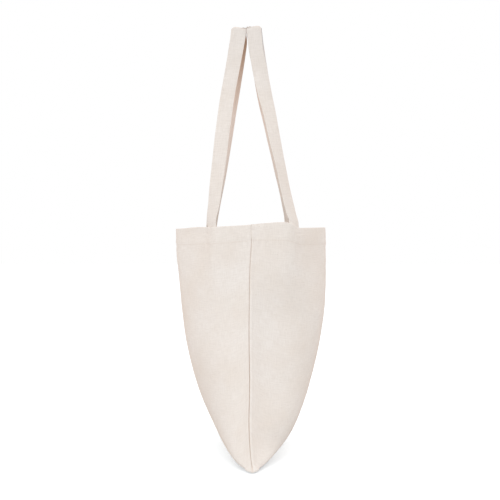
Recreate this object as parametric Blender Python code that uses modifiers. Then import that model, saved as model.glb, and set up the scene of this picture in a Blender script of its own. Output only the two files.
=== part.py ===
"""Cotton tote bag, hung open by its two long handles.

The cloth body is cut in one piece, folded at the bottom and sewn up both sides. Each handle is
one folded strip whose two feet are sewn inside the hem. Metres, +Z up. X runs from side seam
to side seam, the front panel faces -Y, and the origin is where the handles hang.
"""

import math

import bmesh
import bpy
import numpy as np

# Cut sizes of the cloth
BAG_WIDTH = 0.38
BAG_HEIGHT = 0.417
CLOTH = 0.0006
HEM_DEPTH = 0.028
SEAM_ALLOWANCE = 0.010

# Handles
STRAP_WIDTH = 0.0275
STRAP_THICKNESS = 0.0018
STRAP_RISE = 0.3635
STRAP_FOOT_INSET = 0.076
STRAP_FOOT_DEPTH = 0.026
BEND_HEIGHT = 0.030
TWIST_LENGTH = 0.21
HANGER_RADIUS = 0.008

# Clearances between touching layers
LAYER_GAP = 0.0003
SEAM_BEND = 0.0006

# The opened shape: sizes at the rim and at the fold
MOUTH_LENGTH = 0.2045
MOUTH_DEPTH = 0.2763
FOLD_LENGTH = 0.3773
FOLD_ARCH = 0.0118
FOLD_ARCH_POWER = 1.22
RIM_DIP = 0.0064
BAG_OFFSET_Y = 0.0064

# The wall's middle line, from the fold to the rim
BELLY_START = 0.219
BELLY_POWER = 1.025
WALL_LEAN = math.radians(4.8)
RIM_UPRIGHT = 2.5

# The back panel hangs a little fuller than the front one
BACK_BULGE = 0.006
BULGE_ROW_POWER = 6
BULGE_COLUMN_POWER = 3

# The side seams and the corners beside them, as shares of the bag's height
SEAM_TAPER = 2.44
EAR_TURN = 8.0
EAR_TURN_REACH = 0.099
EAR_RISE = 21.9
EAR_RISE_LEAST = 1.4
EAR_RISE_REACH = 0.284
EAR_MITRE = 0.012
SEAM_CREASE = math.radians(2)
CREASE_END = 0.75
CREASE_END_WIDTH = 0.45

# The bottom corner's cone of cloth, in metres from the corner
CONE_FULLNESS = 1.27
CONE_REACH = 0.104

# How the mouth turns: at the seam-side edge of each handle's foot and in each panel's middle
RIM_ZONE = 0.78
RIM_ZONE_WIDTH = 0.5
FOOT_TURN_SHARE = 0.58
FOOT_TURN_WIDTH = 0.16
CENTRE_TURN_WIDTH = 0.30

# How a handle's limb bows and how its twist eases off upward
LIMB_BOW = 1.05
TWIST_EASE = 1.6

# Facets
COLUMNS_MIDDLE = 6
COLUMNS_SIDE = 7
COLUMN_CROWDING = 1.3
ROWS = 15
ROW_CROWDING = 1.35
HEM_ROW_GAP = 0.005
HEM_FOLD_ANGLES = (45, 90, 135)
BEND_HALFWAY = 1 - math.cos(math.pi / 4)
LIMB_STEPS = 18
ARC_STEPS = 9
ROOT_STEPS = 4
SAMPLES = 129

CLOTH_COLOUR = (0.80, 0.72, 0.65, 1.0)
STRAP_COLOUR = (0.78, 0.70, 0.63, 1.0)

HALF_WIDTH = BAG_WIDTH / 2
FOOT_U = 1 - STRAP_FOOT_INSET / HALF_WIDTH
FOOT_HALF_U = STRAP_WIDTH / 2 / HALF_WIDTH
RIM_Z = -STRAP_RISE
HINGE_Z = RIM_Z + BEND_HEIGHT
HANG_Y = STRAP_WIDTH / 2 + LAYER_GAP / 2


def clear_scene():
    for old in list(bpy.data.objects):
        bpy.data.objects.remove(old, do_unlink=True)


def make_material(name, colour, roughness):
    """A plain cloth material."""
    material = bpy.data.materials.new(name)
    material.use_nodes = True
    shader = material.node_tree.nodes["Principled BSDF"]
    shader.inputs["Base Color"].default_value = colour
    shader.inputs["Roughness"].default_value = roughness
    shader.inputs["Metallic"].default_value = 0.0
    material.diffuse_color = colour
    return material


def smooth_step(value, centre, width):
    """0 before the step, 1 after it, with a soft ramp of the given width."""
    ramp = np.clip((value - centre) / width + 0.5, 0, 1)
    return ramp * ramp * (3 - 2 * ramp)


def running_sum(values):
    """The integral of the values over 0 to 1, from 0, by the trapezium rule."""
    steps = (values[1:] + values[:-1]) / 2 / (len(values) - 1)
    return np.concatenate([[0], np.cumsum(steps)])


def seam_line(v):
    """X and height of the side seam at the shares v of the cloth's height above the fold."""
    along = np.linspace(0, 1, SAMPLES)
    x = MOUTH_LENGTH / 2 + (FOLD_LENGTH - MOUTH_LENGTH) / 2 * (1 - along) ** SEAM_TAPER
    rise = np.sqrt(np.maximum(BAG_HEIGHT**2 - np.gradient(x, along) ** 2, 0))
    return np.interp(v, along, x), np.interp(v, along, running_sum(rise))


def belly_line(v):
    """Depth and height of the panel's middle line, from its slope away from the vertical."""
    along = np.linspace(0, 1, SAMPLES)
    floor_share = np.exp(-((along / BELLY_START) ** BELLY_POWER))
    lean = WALL_LEAN * (1 - along**RIM_UPRIGHT)
    slope = math.pi / 2 * floor_share + lean * (1 - floor_share)
    depth = running_sum(np.sin(slope))
    height = running_sum(np.cos(slope)) * BAG_HEIGHT
    depth *= MOUTH_DEPTH / 2 / depth[-1]
    return np.interp(v, along, depth), np.interp(v, along, height)


def cross_section(u, v):
    """Shares of length and depth at u, 0 at the panel's middle and 1 at the seam.

    The cloth's direction turns from the seam to the middle. Low down it turns close to the
    seam, higher it turns evenly, and at the rim it turns beside the handle's foot and in the
    middle.
    """
    along = np.linspace(0, 1, SAMPLES)
    power = 1 + EAR_TURN * math.exp(-v / EAR_TURN_REACH)
    even_turn = 1 - (1 - along) ** power
    foot_edge = 1 - FOOT_U - FOOT_HALF_U
    foot_turn = FOOT_TURN_SHARE * smooth_step(along, foot_edge, FOOT_TURN_WIDTH)
    middle_turn = 2 * (1 - FOOT_TURN_SHARE) * smooth_step(along, 1, CENTRE_TURN_WIDTH)
    rim_share = smooth_step(v, RIM_ZONE, RIM_ZONE_WIDTH)
    crease = SEAM_CREASE * (1 - smooth_step(v, CREASE_END, CREASE_END_WIDTH))
    turned = (1 - rim_share) * even_turn + rim_share * (foot_turn + middle_turn)
    angle = crease + (math.pi / 2 - crease) * turned
    length = running_sum(np.sin(angle))
    depth = running_sum(np.cos(angle))
    from_seam = 1 - u
    return (
        np.interp(from_seam, along, 1 - length / length[-1]),
        np.interp(from_seam, along, depth / depth[-1]),
    )


def wall_grid(u, v, side):
    """Points of the middle of the cloth, as (columns, rows, 3), with the rim's seam at 0.

    u runs from -1 to 1 between the seams, v from 0 at the fold to 1 at the rim, and side is
    -1 for the front panel and 1 for the back one.
    """
    seam_x, seam_z = seam_line(v)
    belly_y, belly_z = belly_line(v)
    rim_z = seam_line(1.0)[1]
    belly_rise = belly_z + (rim_z - RIM_DIP - FOLD_ARCH - belly_line(1.0)[1]) * v
    across = np.abs(u)
    fold_z = FOLD_ARCH * (1 - across**FOLD_ARCH_POWER)
    points = np.zeros((len(u), len(v), 3))
    for row, share in enumerate(v):
        length, depth = cross_section(across, share)
        steepness = EAR_RISE_LEAST + EAR_RISE * math.exp(-share / EAR_RISE_REACH)
        toward_seam = across**steepness
        bulge = BACK_BULGE * (1 - share**BULGE_ROW_POWER)
        bulge = bulge * (1 - across**BULGE_COLUMN_POWER)

        # Near the bottom corner the folded cloth opens into a cone
        beside = (1 - across) * HALF_WIDTH
        from_corner = np.hypot(beside, share * BAG_HEIGHT) + 1e-9
        cone_depth = CONE_FULLNESS * beside * share * BAG_HEIGHT / from_corner
        cone_share = np.exp(-((from_corner / CONE_REACH) ** 2))
        half_depth = belly_y[row] * depth * (1 - cone_share) + cone_depth * cone_share
        points[:, row, 0] = np.sign(u) * seam_x[row] * length
        points[:, row, 1] = side * half_depth + bulge
        points[:, row, 2] = fold_z - rim_z + belly_rise[row] * (1 - toward_seam)
        points[:, row, 2] += seam_z[row] * toward_seam
    return points


def inward(points, side):
    """Level unit vectors from the wall to the inside of the bag."""
    along = np.gradient(points, axis=0)
    level = np.stack([-along[..., 1], along[..., 0], np.zeros(along.shape[:2])], -1)
    level /= np.linalg.norm(level, axis=-1, keepdims=True)
    return -side * level


def column_shares():
    """u of every column, with one at each edge and the middle of each handle's foot."""
    middle = np.linspace(0, FOOT_U - FOOT_HALF_U, COLUMNS_MIDDLE + 1)
    foot = FOOT_U + FOOT_HALF_U * np.array([0.0, 1.0])
    left_over = 1 - np.arange(1, COLUMNS_SIDE + 1) / COLUMNS_SIDE
    side = 1 - (1 - foot[-1]) * left_over**COLUMN_CROWDING
    half = np.concatenate([middle, foot, side])
    return np.concatenate([-half[:0:-1], half])


def panel_rows(side):
    """One panel's grid from the fold to the hem's inner edge, and which rows have a flange."""
    u = column_shares()
    hem = HEM_DEPTH / BAG_HEIGHT
    lower = (np.arange(ROWS + 1) / ROWS) ** ROW_CROWDING * (1 - hem - HEM_ROW_GAP)
    v = np.concatenate([lower, [1 - hem, 1 - hem / 2, 1.0]])
    wall = wall_grid(u, v, side)
    inner_way = inward(wall, side)

    # The wall's edges stop short of the seam plane: by the flange's bend, or butted at the hem
    flanged = (v > EAR_MITRE) & (v < 1 - hem)
    stop = np.where(v < 1 - hem, SEAM_BEND + CLOTH / 2 + LAYER_GAP / 2, LAYER_GAP / 2)
    stop[0] = 0
    for column in (0, -1):
        wall[column, :, 1] = side * stop

    # The hem turns inward over a half circle and hangs inside the wall
    step = CLOTH + LAYER_GAP
    folds = []
    for angle in np.radians(HEM_FOLD_ANGLES):
        ridge = wall[:, -1] + inner_way[:, -1] * step / 2 * (1 - math.cos(angle))
        ridge[:, 2] += step / 2 * math.sin(angle)
        folds.append(ridge)
    for row in (-1, -2, -3):
        folds.append(wall[:, row] + inner_way[:, row] * step)
    grid = np.concatenate([wall, np.stack(folds, 1)], axis=1)
    flanged = np.concatenate([flanged, np.zeros(len(folds), bool)])
    return grid, flanged


def flange_columns(edge, end, side):
    """The allowance's columns: a quarter bend off the wall's edge, then straight inward."""
    columns = []
    for inset, sideways in ((BEND_HALFWAY, 1 - BEND_HALFWAY), (1.0, 1.0)):
        column = edge.copy()
        column[:, 0] -= end * SEAM_BEND * inset
        column[:, 1] -= side * SEAM_BEND * sideways
        columns.append(column)
    tip = columns[-1].copy()
    tip[:, 0] -= end * (SEAM_ALLOWANCE - SEAM_BEND)
    columns.append(tip)
    return columns


def object_from_grid(name, grid, keep, material, collection, thickness, origin):
    """A closed sheet: the grid's kept faces as an open surface, given its thickness."""
    columns, rows = grid.shape[:2]
    mesh = bpy.data.meshes.new(name)
    shape = bmesh.new()
    corners = {}
    for column in range(columns - 1):
        for row in range(rows - 1):
            if not keep[column, row]:
                continue
            ring = [(column, row), (column, row + 1), (column + 1, row + 1), (column + 1, row)]
            for key in ring:
                if key not in corners:
                    corners[key] = shape.verts.new(grid[key] - np.array(origin))
            shape.faces.new([corners[key] for key in ring])
    bmesh.ops.recalc_face_normals(shape, faces=shape.faces)
    shape.to_mesh(mesh)
    shape.free()
    mesh.shade_smooth()
    mesh.materials.append(material)
    piece = bpy.data.objects.new(name, mesh)
    piece.location = origin
    collection.objects.link(piece)
    wall = piece.modifiers.new("cloth", "SOLIDIFY")
    wall.thickness = thickness
    wall.offset = 0
    wall.use_even_offset = True
    return piece


def make_body(material, collection, frame):
    """The cloth body: front panel, bottom fold and back panel, with hem and allowances."""
    front, flanged = panel_rows(-1)
    back, _ = panel_rows(1)
    walls = np.concatenate([front[:, ::-1], back[:, 1:]], axis=1)
    flanged = np.concatenate([flanged[::-1], flanged[1:]])
    sides = np.concatenate([-np.ones(front.shape[1]), np.ones(back.shape[1] - 1)])

    near = flange_columns(walls[-1], 1, sides)
    far = flange_columns(walls[0], -1, sides)
    grid = np.concatenate([np.stack(far[::-1]), walls, np.stack(near)], axis=0)
    keep = np.ones((grid.shape[0] - 1, grid.shape[1] - 1), bool)
    both_rows = flanged[1:] & flanged[:-1]
    keep[: len(far)] = both_rows
    keep[-len(near) :] = both_rows
    body = object_from_grid("body", grid, keep, material, collection, CLOTH, (0, 0, 0))
    body.parent = frame
    return body


def strap_on_hem(side, end, v):
    """The strap's middle surface where it lies inside the hem, as (3 columns, rows, 3).

    The columns are its two edges and its middle, in the order in which Y rises.
    """
    u = end * (FOOT_U + FOOT_HALF_U * np.array([-1.0, 0.0, 1.0]))
    grid = wall_grid(u, v, side)
    depth = CLOTH * 1.5 + LAYER_GAP * 2 + STRAP_THICKNESS / 2
    grid += inward(grid, side) * depth * end
    return grid[:: -side]


def foot_frame(side, end):
    """Where a handle leaves the rim: its middle point and the direction of its width."""
    rim = strap_on_hem(side, end, np.array([1.0]))[:, 0]
    width = (rim[2] - rim[0]) * [1, 1, 0]
    return rim[1] + [0, BAG_OFFSET_Y, RIM_Z], width / np.linalg.norm(width)


def make_foot(name, side, end, material, collection, frame):
    """A sewn end of a handle, lying on the inside of the hem and following its curve."""
    v = 1 - np.array([STRAP_FOOT_DEPTH, STRAP_FOOT_DEPTH / 2, LAYER_GAP]) / BAG_HEIGHT
    grid = strap_on_hem(side, end, v)
    keep = np.ones((2, 2), bool)
    foot = object_from_grid(name, grid, keep, material, collection, STRAP_THICKNESS, (0, 0, 0))
    foot.parent = frame
    return foot


def limb(side, end, heights):
    """A handle's limb at the given heights: its middle points and width directions.

    Also the point, from the arc's middle, where it leaves the arc over the hanging point, and
    how far it leans there.
    """
    start, width = foot_frame(side, end)
    radius = HANGER_RADIUS + STRAP_THICKNESS / 2
    lean = math.atan2(abs(start[0]) - radius, STRAP_RISE)
    leave = radius * math.cos(lean), radius * math.sin(lean) - HANGER_RADIUS
    share = (leave[1] - heights) / (leave[1] - start[2])
    x = end * (leave[0] + (abs(start[0]) - leave[0]) * share)
    y = side * HANG_Y + (start[1] - side * HANG_Y) * share**LIMB_BOW
    turn = 1 - np.clip((heights - start[2]) / TWIST_LENGTH, 0, 1)
    across_bag = math.pi / 2
    at_rim = math.atan2(width[1], width[0])
    angle = across_bag + (at_rim - across_bag) * turn**TWIST_EASE
    directions = np.stack([np.cos(angle), np.sin(angle), np.zeros_like(angle)], -1)
    return np.stack([x, y, heights], -1), directions, leave, lean


def ribbon(points, directions):
    """A strip of cloth along the points: three columns, square to the path."""
    along = np.gradient(points, axis=0)
    along /= np.linalg.norm(along, axis=1, keepdims=True)
    square = directions - (directions * along).sum(1, keepdims=True) * along
    square /= np.linalg.norm(square, axis=1, keepdims=True)
    return np.stack([points + square * STRAP_WIDTH / 2 * edge for edge in (-1, 0, 1)])


def make_root(name, side, end, material, collection):
    """The short stretch of a handle that bends, from the rim up to the fold line."""
    rim = strap_on_hem(side, end, np.array([1.0])) + [0, BAG_OFFSET_Y, RIM_Z]
    heights = np.linspace(rim[1, 0, 2], HINGE_Z - LAYER_GAP / 2, ROOT_STEPS + 1)[1:]
    points, directions, _, _ = limb(side, end, heights)
    strip = np.concatenate([rim, ribbon(points, directions)], axis=1)
    keep = np.ones((2, strip.shape[1] - 1), bool)
    return object_from_grid(
        name, strip, keep, material, collection, STRAP_THICKNESS, (0, 0, 0)
    )


def hinge_point(side):
    """The middle of a handle's fold line, between its two limbs."""
    points, _, _, _ = limb(side, 1, np.array([HINGE_Z]))
    return np.array([0.0, points[0, 1], HINGE_Z])


def make_loop(name, side, material, collection):
    """The free part of a handle: up one limb, over the hanging point and down the other."""
    bottom = HINGE_Z + LAYER_GAP / 2
    _, _, leave, lean = limb(side, 1, np.array([HINGE_Z]))
    heights = np.linspace(bottom, leave[1], LIMB_STEPS)
    near, near_ways, _, _ = limb(side, 1, heights)
    far, far_ways, _, _ = limb(side, -1, heights)
    radius = HANGER_RADIUS + STRAP_THICKNESS / 2
    reach = math.pi / 2 - lean
    turn = np.linspace(reach, -reach, ARC_STEPS + 1)[1:-1]
    arc = np.stack(
        [
            radius * np.sin(turn),
            np.full_like(turn, side * HANG_Y),
            radius * np.cos(turn) - HANGER_RADIUS,
        ],
        -1,
    )
    over = np.tile([0.0, 1.0, 0.0], (len(turn), 1))
    points = np.concatenate([near, arc, far[::-1]])
    directions = np.concatenate([near_ways, over, far_ways[::-1]])
    strip = ribbon(points, directions)
    keep = np.ones((2, len(points) - 1), bool)
    origin = tuple(hinge_point(side))
    return object_from_grid(
        name, strip, keep, material, collection, STRAP_THICKNESS, origin
    )


def main():
    clear_scene()
    collection = bpy.data.collections.new("cotton_tote_bag")
    bpy.context.scene.collection.children.link(collection)
    cloth = make_material("cotton_canvas", CLOTH_COLOUR, 0.9)
    strap = make_material("cotton_strap", STRAP_COLOUR, 0.9)

    frame = bpy.data.objects.new("rim_frame", None)
    frame.location = (0, BAG_OFFSET_Y, RIM_Z)
    collection.objects.link(frame)

    make_body(cloth, collection, frame)
    for side, word in ((-1, "front"), (1, "back")):
        for end, place in ((1, "right"), (-1, "left")):
            make_foot(f"{word}_handle_foot_{place}", side, end, strap, collection, frame)
            make_root(f"{word}_handle_root_{place}", side, end, strap, collection)
        make_loop(f"{word}_handle_loop", side, strap, collection)


main()
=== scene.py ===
"""Cotton tote bag hanging open by its two handles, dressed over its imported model.

Metres throughout, +Z up. X runs from side seam to side seam, the front panel faces -Y, and the
origin is the point where the handles hang. The cloth is worked out as grids: u runs across a
panel from -1 to 1 between the side seams, and v from 0 at the bottom fold to 1 at the rim.
"""

import logging
import math
from dataclasses import dataclass, field
from enum import Enum

import bmesh
import bpy
import numpy as np
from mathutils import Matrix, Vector
from numpy.typing import NDArray

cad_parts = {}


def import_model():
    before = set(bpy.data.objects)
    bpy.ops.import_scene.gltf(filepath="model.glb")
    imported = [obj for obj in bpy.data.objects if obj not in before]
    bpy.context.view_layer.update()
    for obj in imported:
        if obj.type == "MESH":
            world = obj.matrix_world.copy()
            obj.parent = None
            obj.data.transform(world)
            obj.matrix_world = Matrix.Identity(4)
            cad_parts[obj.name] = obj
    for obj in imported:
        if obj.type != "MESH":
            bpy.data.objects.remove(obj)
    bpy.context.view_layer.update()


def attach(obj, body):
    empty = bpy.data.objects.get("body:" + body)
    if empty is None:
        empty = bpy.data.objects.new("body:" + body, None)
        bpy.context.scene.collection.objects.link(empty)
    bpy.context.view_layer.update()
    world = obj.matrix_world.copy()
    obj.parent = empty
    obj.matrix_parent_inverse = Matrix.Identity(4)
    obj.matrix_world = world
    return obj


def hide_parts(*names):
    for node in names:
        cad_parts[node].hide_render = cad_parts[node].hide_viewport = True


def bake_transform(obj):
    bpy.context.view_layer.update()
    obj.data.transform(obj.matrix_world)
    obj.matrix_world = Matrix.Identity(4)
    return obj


# A span is a centre and a width, or two ends. A ramp takes one span of values to another. Waves
# are a count, the longest and the shortest. A row of stitches is its centres, its ways of sewing
# and its ways off the cloth.
Array = NDArray[np.float64]
Colour = tuple[float, float, float]
Place = tuple[float, float, float]
Socket = bpy.types.NodeSocket
Span = tuple[float, float]
Knots = tuple[Span, ...]
Ramp = tuple[Span, Span]
Waves = tuple[int, float, float]
Row = tuple[Array, Array, Array]
LOG = logging.getLogger("tote")
CLOTH_MAP = "cloth"
# The first two keep a division off 0, and the third is Blender's wave texture's own turn.
LEAST_LENGTH = 1e-12
CORNER_ROOM = 1e-9
WAVE_TURN = 2 * math.pi / 20
WHITE: Colour = (1.0, 1.0, 1.0)
# The brown of painted shade: in the seams' grooves, along the hem's sewn row and on the straps'
# inner faces near the top.
SHADE_BROWN: Colour = (0.58, 0.39, 0.265)


class Side(Enum):
    """A panel of the bag, with the sign of the way it faces along Y."""

    FRONT = -1
    BACK = 1

    @property
    def word(self) -> str:
        """The panel's name in piece and body names."""
        return self.name.lower()


def smooth_step(value: Array | float, centre: float, width: float) -> Array:
    """A step from 0 to 1 round the centre, by the cubic 3r^2 - 2r^3 over the width."""
    ramp = np.clip((np.asarray(value, float) - centre) / width + 0.5, 0, 1)
    return ramp * ramp * (3 - 2 * ramp)


def running_sum(values: Array) -> Array:
    """The integral of the values over 0 to 1 along the last axis, by the trapezium rule.

    Args:
        values: Samples at even steps.

    Returns:
        The integral up to each sample, starting from 0.
    """
    steps = (values[..., 1:] + values[..., :-1]) / 2 / (values.shape[-1] - 1)
    start = np.zeros((*values.shape[:-1], 1))
    return np.concatenate([start, np.cumsum(steps, axis=-1)], axis=-1)


def through_knots(value: Array | float, knots: Knots) -> Array:
    """A soft curve through a few knots: cubic Hermite pieces with chord slopes.

    Args:
        value: Where the curve is read.
        knots: Pairs of place and height, in rising places.

    Returns:
        The curve's height at each value, held level beyond the end knots.
    """
    at, height = np.array(knots, float).T
    slope = np.gradient(height, at)
    slope[0] = slope[-1] = 0
    value = np.clip(np.asarray(value, float), at[0], at[-1])
    cell = np.clip(np.searchsorted(at, value, side="right") - 1, 0, len(at) - 2)
    span = at[cell + 1] - at[cell]
    t = (value - at[cell]) / span
    rise = 3 * t**2 - 2 * t**3
    return (
        height[cell] * (1 - rise)
        + height[cell + 1] * rise
        + span * (slope[cell] * (t**3 - 2 * t**2 + t) + slope[cell + 1] * (t**3 - t**2))
    )


def unit(vectors: Array) -> Array:
    """The vectors brought to length 1 along the last axis."""
    return vectors / np.maximum(np.linalg.norm(vectors, axis=-1, keepdims=True), LEAST_LENGTH)


def bell(value: Array, centre: float, reach: float) -> Array:
    """A bell curve, exp(-((value - centre) / reach)^2)."""
    return np.exp(-(((value - centre) / reach) ** 2))


def even_wave(turns: Array) -> Array:
    """A sine of the given number of turns."""
    return np.sin(2 * np.pi * turns)


def toward_seams(count: int, share: float) -> Array:
    """Places from -1 to 1, closer together toward both ends.

    Each half mixes even steps r with 1 - (1 - r)^2.

    Args:
        count: How many places from the middle to an end.
        share: How much of the second there is in the mix.

    Returns:
        The places, in rising order.
    """
    even = np.linspace(0, 1, count)
    half = even * (1 - share) + share * (1 - (1 - even) ** 2)
    return np.concatenate([-half[:0:-1], half])


def toward_ends(count: int, share: float) -> Array:
    """Places r from 0 to 1, closer together at both ends: r - share * sin(2 pi r) / (2 pi)."""
    even = np.linspace(0, 1, count)
    return even - share * even_wave(even) / (2 * np.pi)


class Ripples:
    """Smooth seeded relief on a flat sheet: a sum of sine waves of mixed directions."""

    def __init__(self, seed: int, waves: Waves) -> None:
        """Draws the waves.

        Args:
            seed: What makes the relief the same on each run.
            waves: How many waves, and the longest and the shortest, in metres.
        """
        count, longest, shortest = waves
        rng = np.random.default_rng(seed)
        length = longest * (shortest / longest) ** rng.random(count)
        heading = rng.random(count) * 2 * np.pi
        self.wave = 2 * np.pi / length * np.stack([np.cos(heading), np.sin(heading)])
        self.phase = rng.random(count) * 2 * np.pi
        self.weight = length / length.sum()

    def at(self, across: Array, along: Array) -> Array:
        """The relief, about -1 to 1, at places on the sheet given in metres."""
        turn = across[..., None] * self.wave[0] + along[..., None] * self.wave[1]
        return 2 * (np.sin(turn + self.phase) * self.weight).sum(-1)


def placed(name: str, data: bpy.types.ID) -> bpy.types.Object:
    """An object with the given data, linked to the scene.

    Args:
        name: Its name.
        data: Its mesh, camera or lamp.

    Returns:
        The object.
    """
    piece = bpy.data.objects.new(name, data)
    bpy.context.scene.collection.objects.link(piece)
    return piece


def add_mesh(
    name: str, points: Array, faces: NDArray[np.int64], cloth_map: Array | None = None
) -> bpy.types.Object:
    """A smooth-shaded mesh object at the origin from points and four-sided faces.

    Args:
        name: The piece's name.
        points: One place per vertex.
        faces: Four vertex numbers per face, in turning order.
        cloth_map: One flat place per vertex, in metres, for the weave to follow.

    Returns:
        The object, linked to the scene.
    """
    mesh = bpy.data.meshes.new(name)
    mesh.vertices.add(len(points))
    mesh.vertices.foreach_set("co", points.astype(np.float32).ravel())
    mesh.loops.add(faces.size)
    mesh.loops.foreach_set("vertex_index", faces.astype(np.int32).ravel())
    mesh.polygons.add(len(faces))
    mesh.polygons.foreach_set("loop_start", np.arange(0, faces.size, 4, dtype=np.int32))
    mesh.polygons.foreach_set("loop_total", np.full(len(faces), 4, np.int32))
    mesh.update(calc_edges=True)
    mesh.validate()
    mesh.shade_smooth()
    if cloth_map is not None:
        layer = mesh.uv_layers.new(name=CLOTH_MAP)
        layer.data.foreach_set("uv", cloth_map[faces.ravel()].astype(np.float32).ravel())
    return placed(name, mesh)


def grid_faces(
    columns: int, rows: int, closed: bool = False, keep: NDArray[np.bool_] | None = None
) -> NDArray[np.int64]:
    """Four-sided faces over a grid whose vertices run row by row within each column.

    Args:
        columns: How many columns of vertices.
        rows: How many rows of vertices.
        closed: Whether the rows join up into a ring.
        keep: Which cells have a face, as (columns - 1, rows - 1). All of them if left out.

    Returns:
        The vertex numbers, as (faces, 4).
    """
    across = np.arange(columns - 1)[:, None] * rows
    along = np.arange(rows if closed else rows - 1)[None, :]
    after = (along + 1) % rows
    ring = [across + along, across + rows + along, across + rows + after, across + after]
    faces = np.stack([np.broadcast_to(corner, ring[0].shape) for corner in ring], -1)
    return faces[keep] if keep is not None else faces.reshape(-1, 4)


def bilinear(grid: Array, column: Array, row: Array) -> Array:
    """A grid's values at fractional columns and rows, mixed from each cell's four corners.

    Args:
        grid: Values as (columns, rows, 3).
        column: Fractional column numbers.
        row: Fractional row numbers, in the same shape.

    Returns:
        One value per place.
    """
    i = np.clip(column.astype(int), 0, grid.shape[0] - 2)
    j = np.clip(row.astype(int), 0, grid.shape[1] - 2)
    a, b = (column - i)[..., None], (row - j)[..., None]
    low = grid[i, j] * (1 - a) + grid[i + 1, j] * a
    high = grid[i, j + 1] * (1 - a) + grid[i + 1, j + 1] * a
    return low * (1 - b) + high * b


def join_seams(piece: bpy.types.Object, distance: float, outward: bool) -> None:
    """Joins points that lie together, drops loose ones and turns the faces the right way.

    Args:
        piece: The mesh object.
        distance: How near two points are to count as one.
        outward: Whether the mesh is closed, so that its faces can be turned to point out.
    """
    shape = bmesh.new()
    shape.from_mesh(piece.data)
    bmesh.ops.remove_doubles(shape, verts=shape.verts[:], dist=distance)
    loose = [vertex for vertex in shape.verts if not vertex.link_faces]
    bmesh.ops.delete(shape, geom=loose, context="VERTS")
    if outward:
        bmesh.ops.recalc_face_normals(shape, faces=shape.faces[:])
    shape.to_mesh(piece.data)
    shape.free()
    piece.data.shade_smooth()


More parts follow.
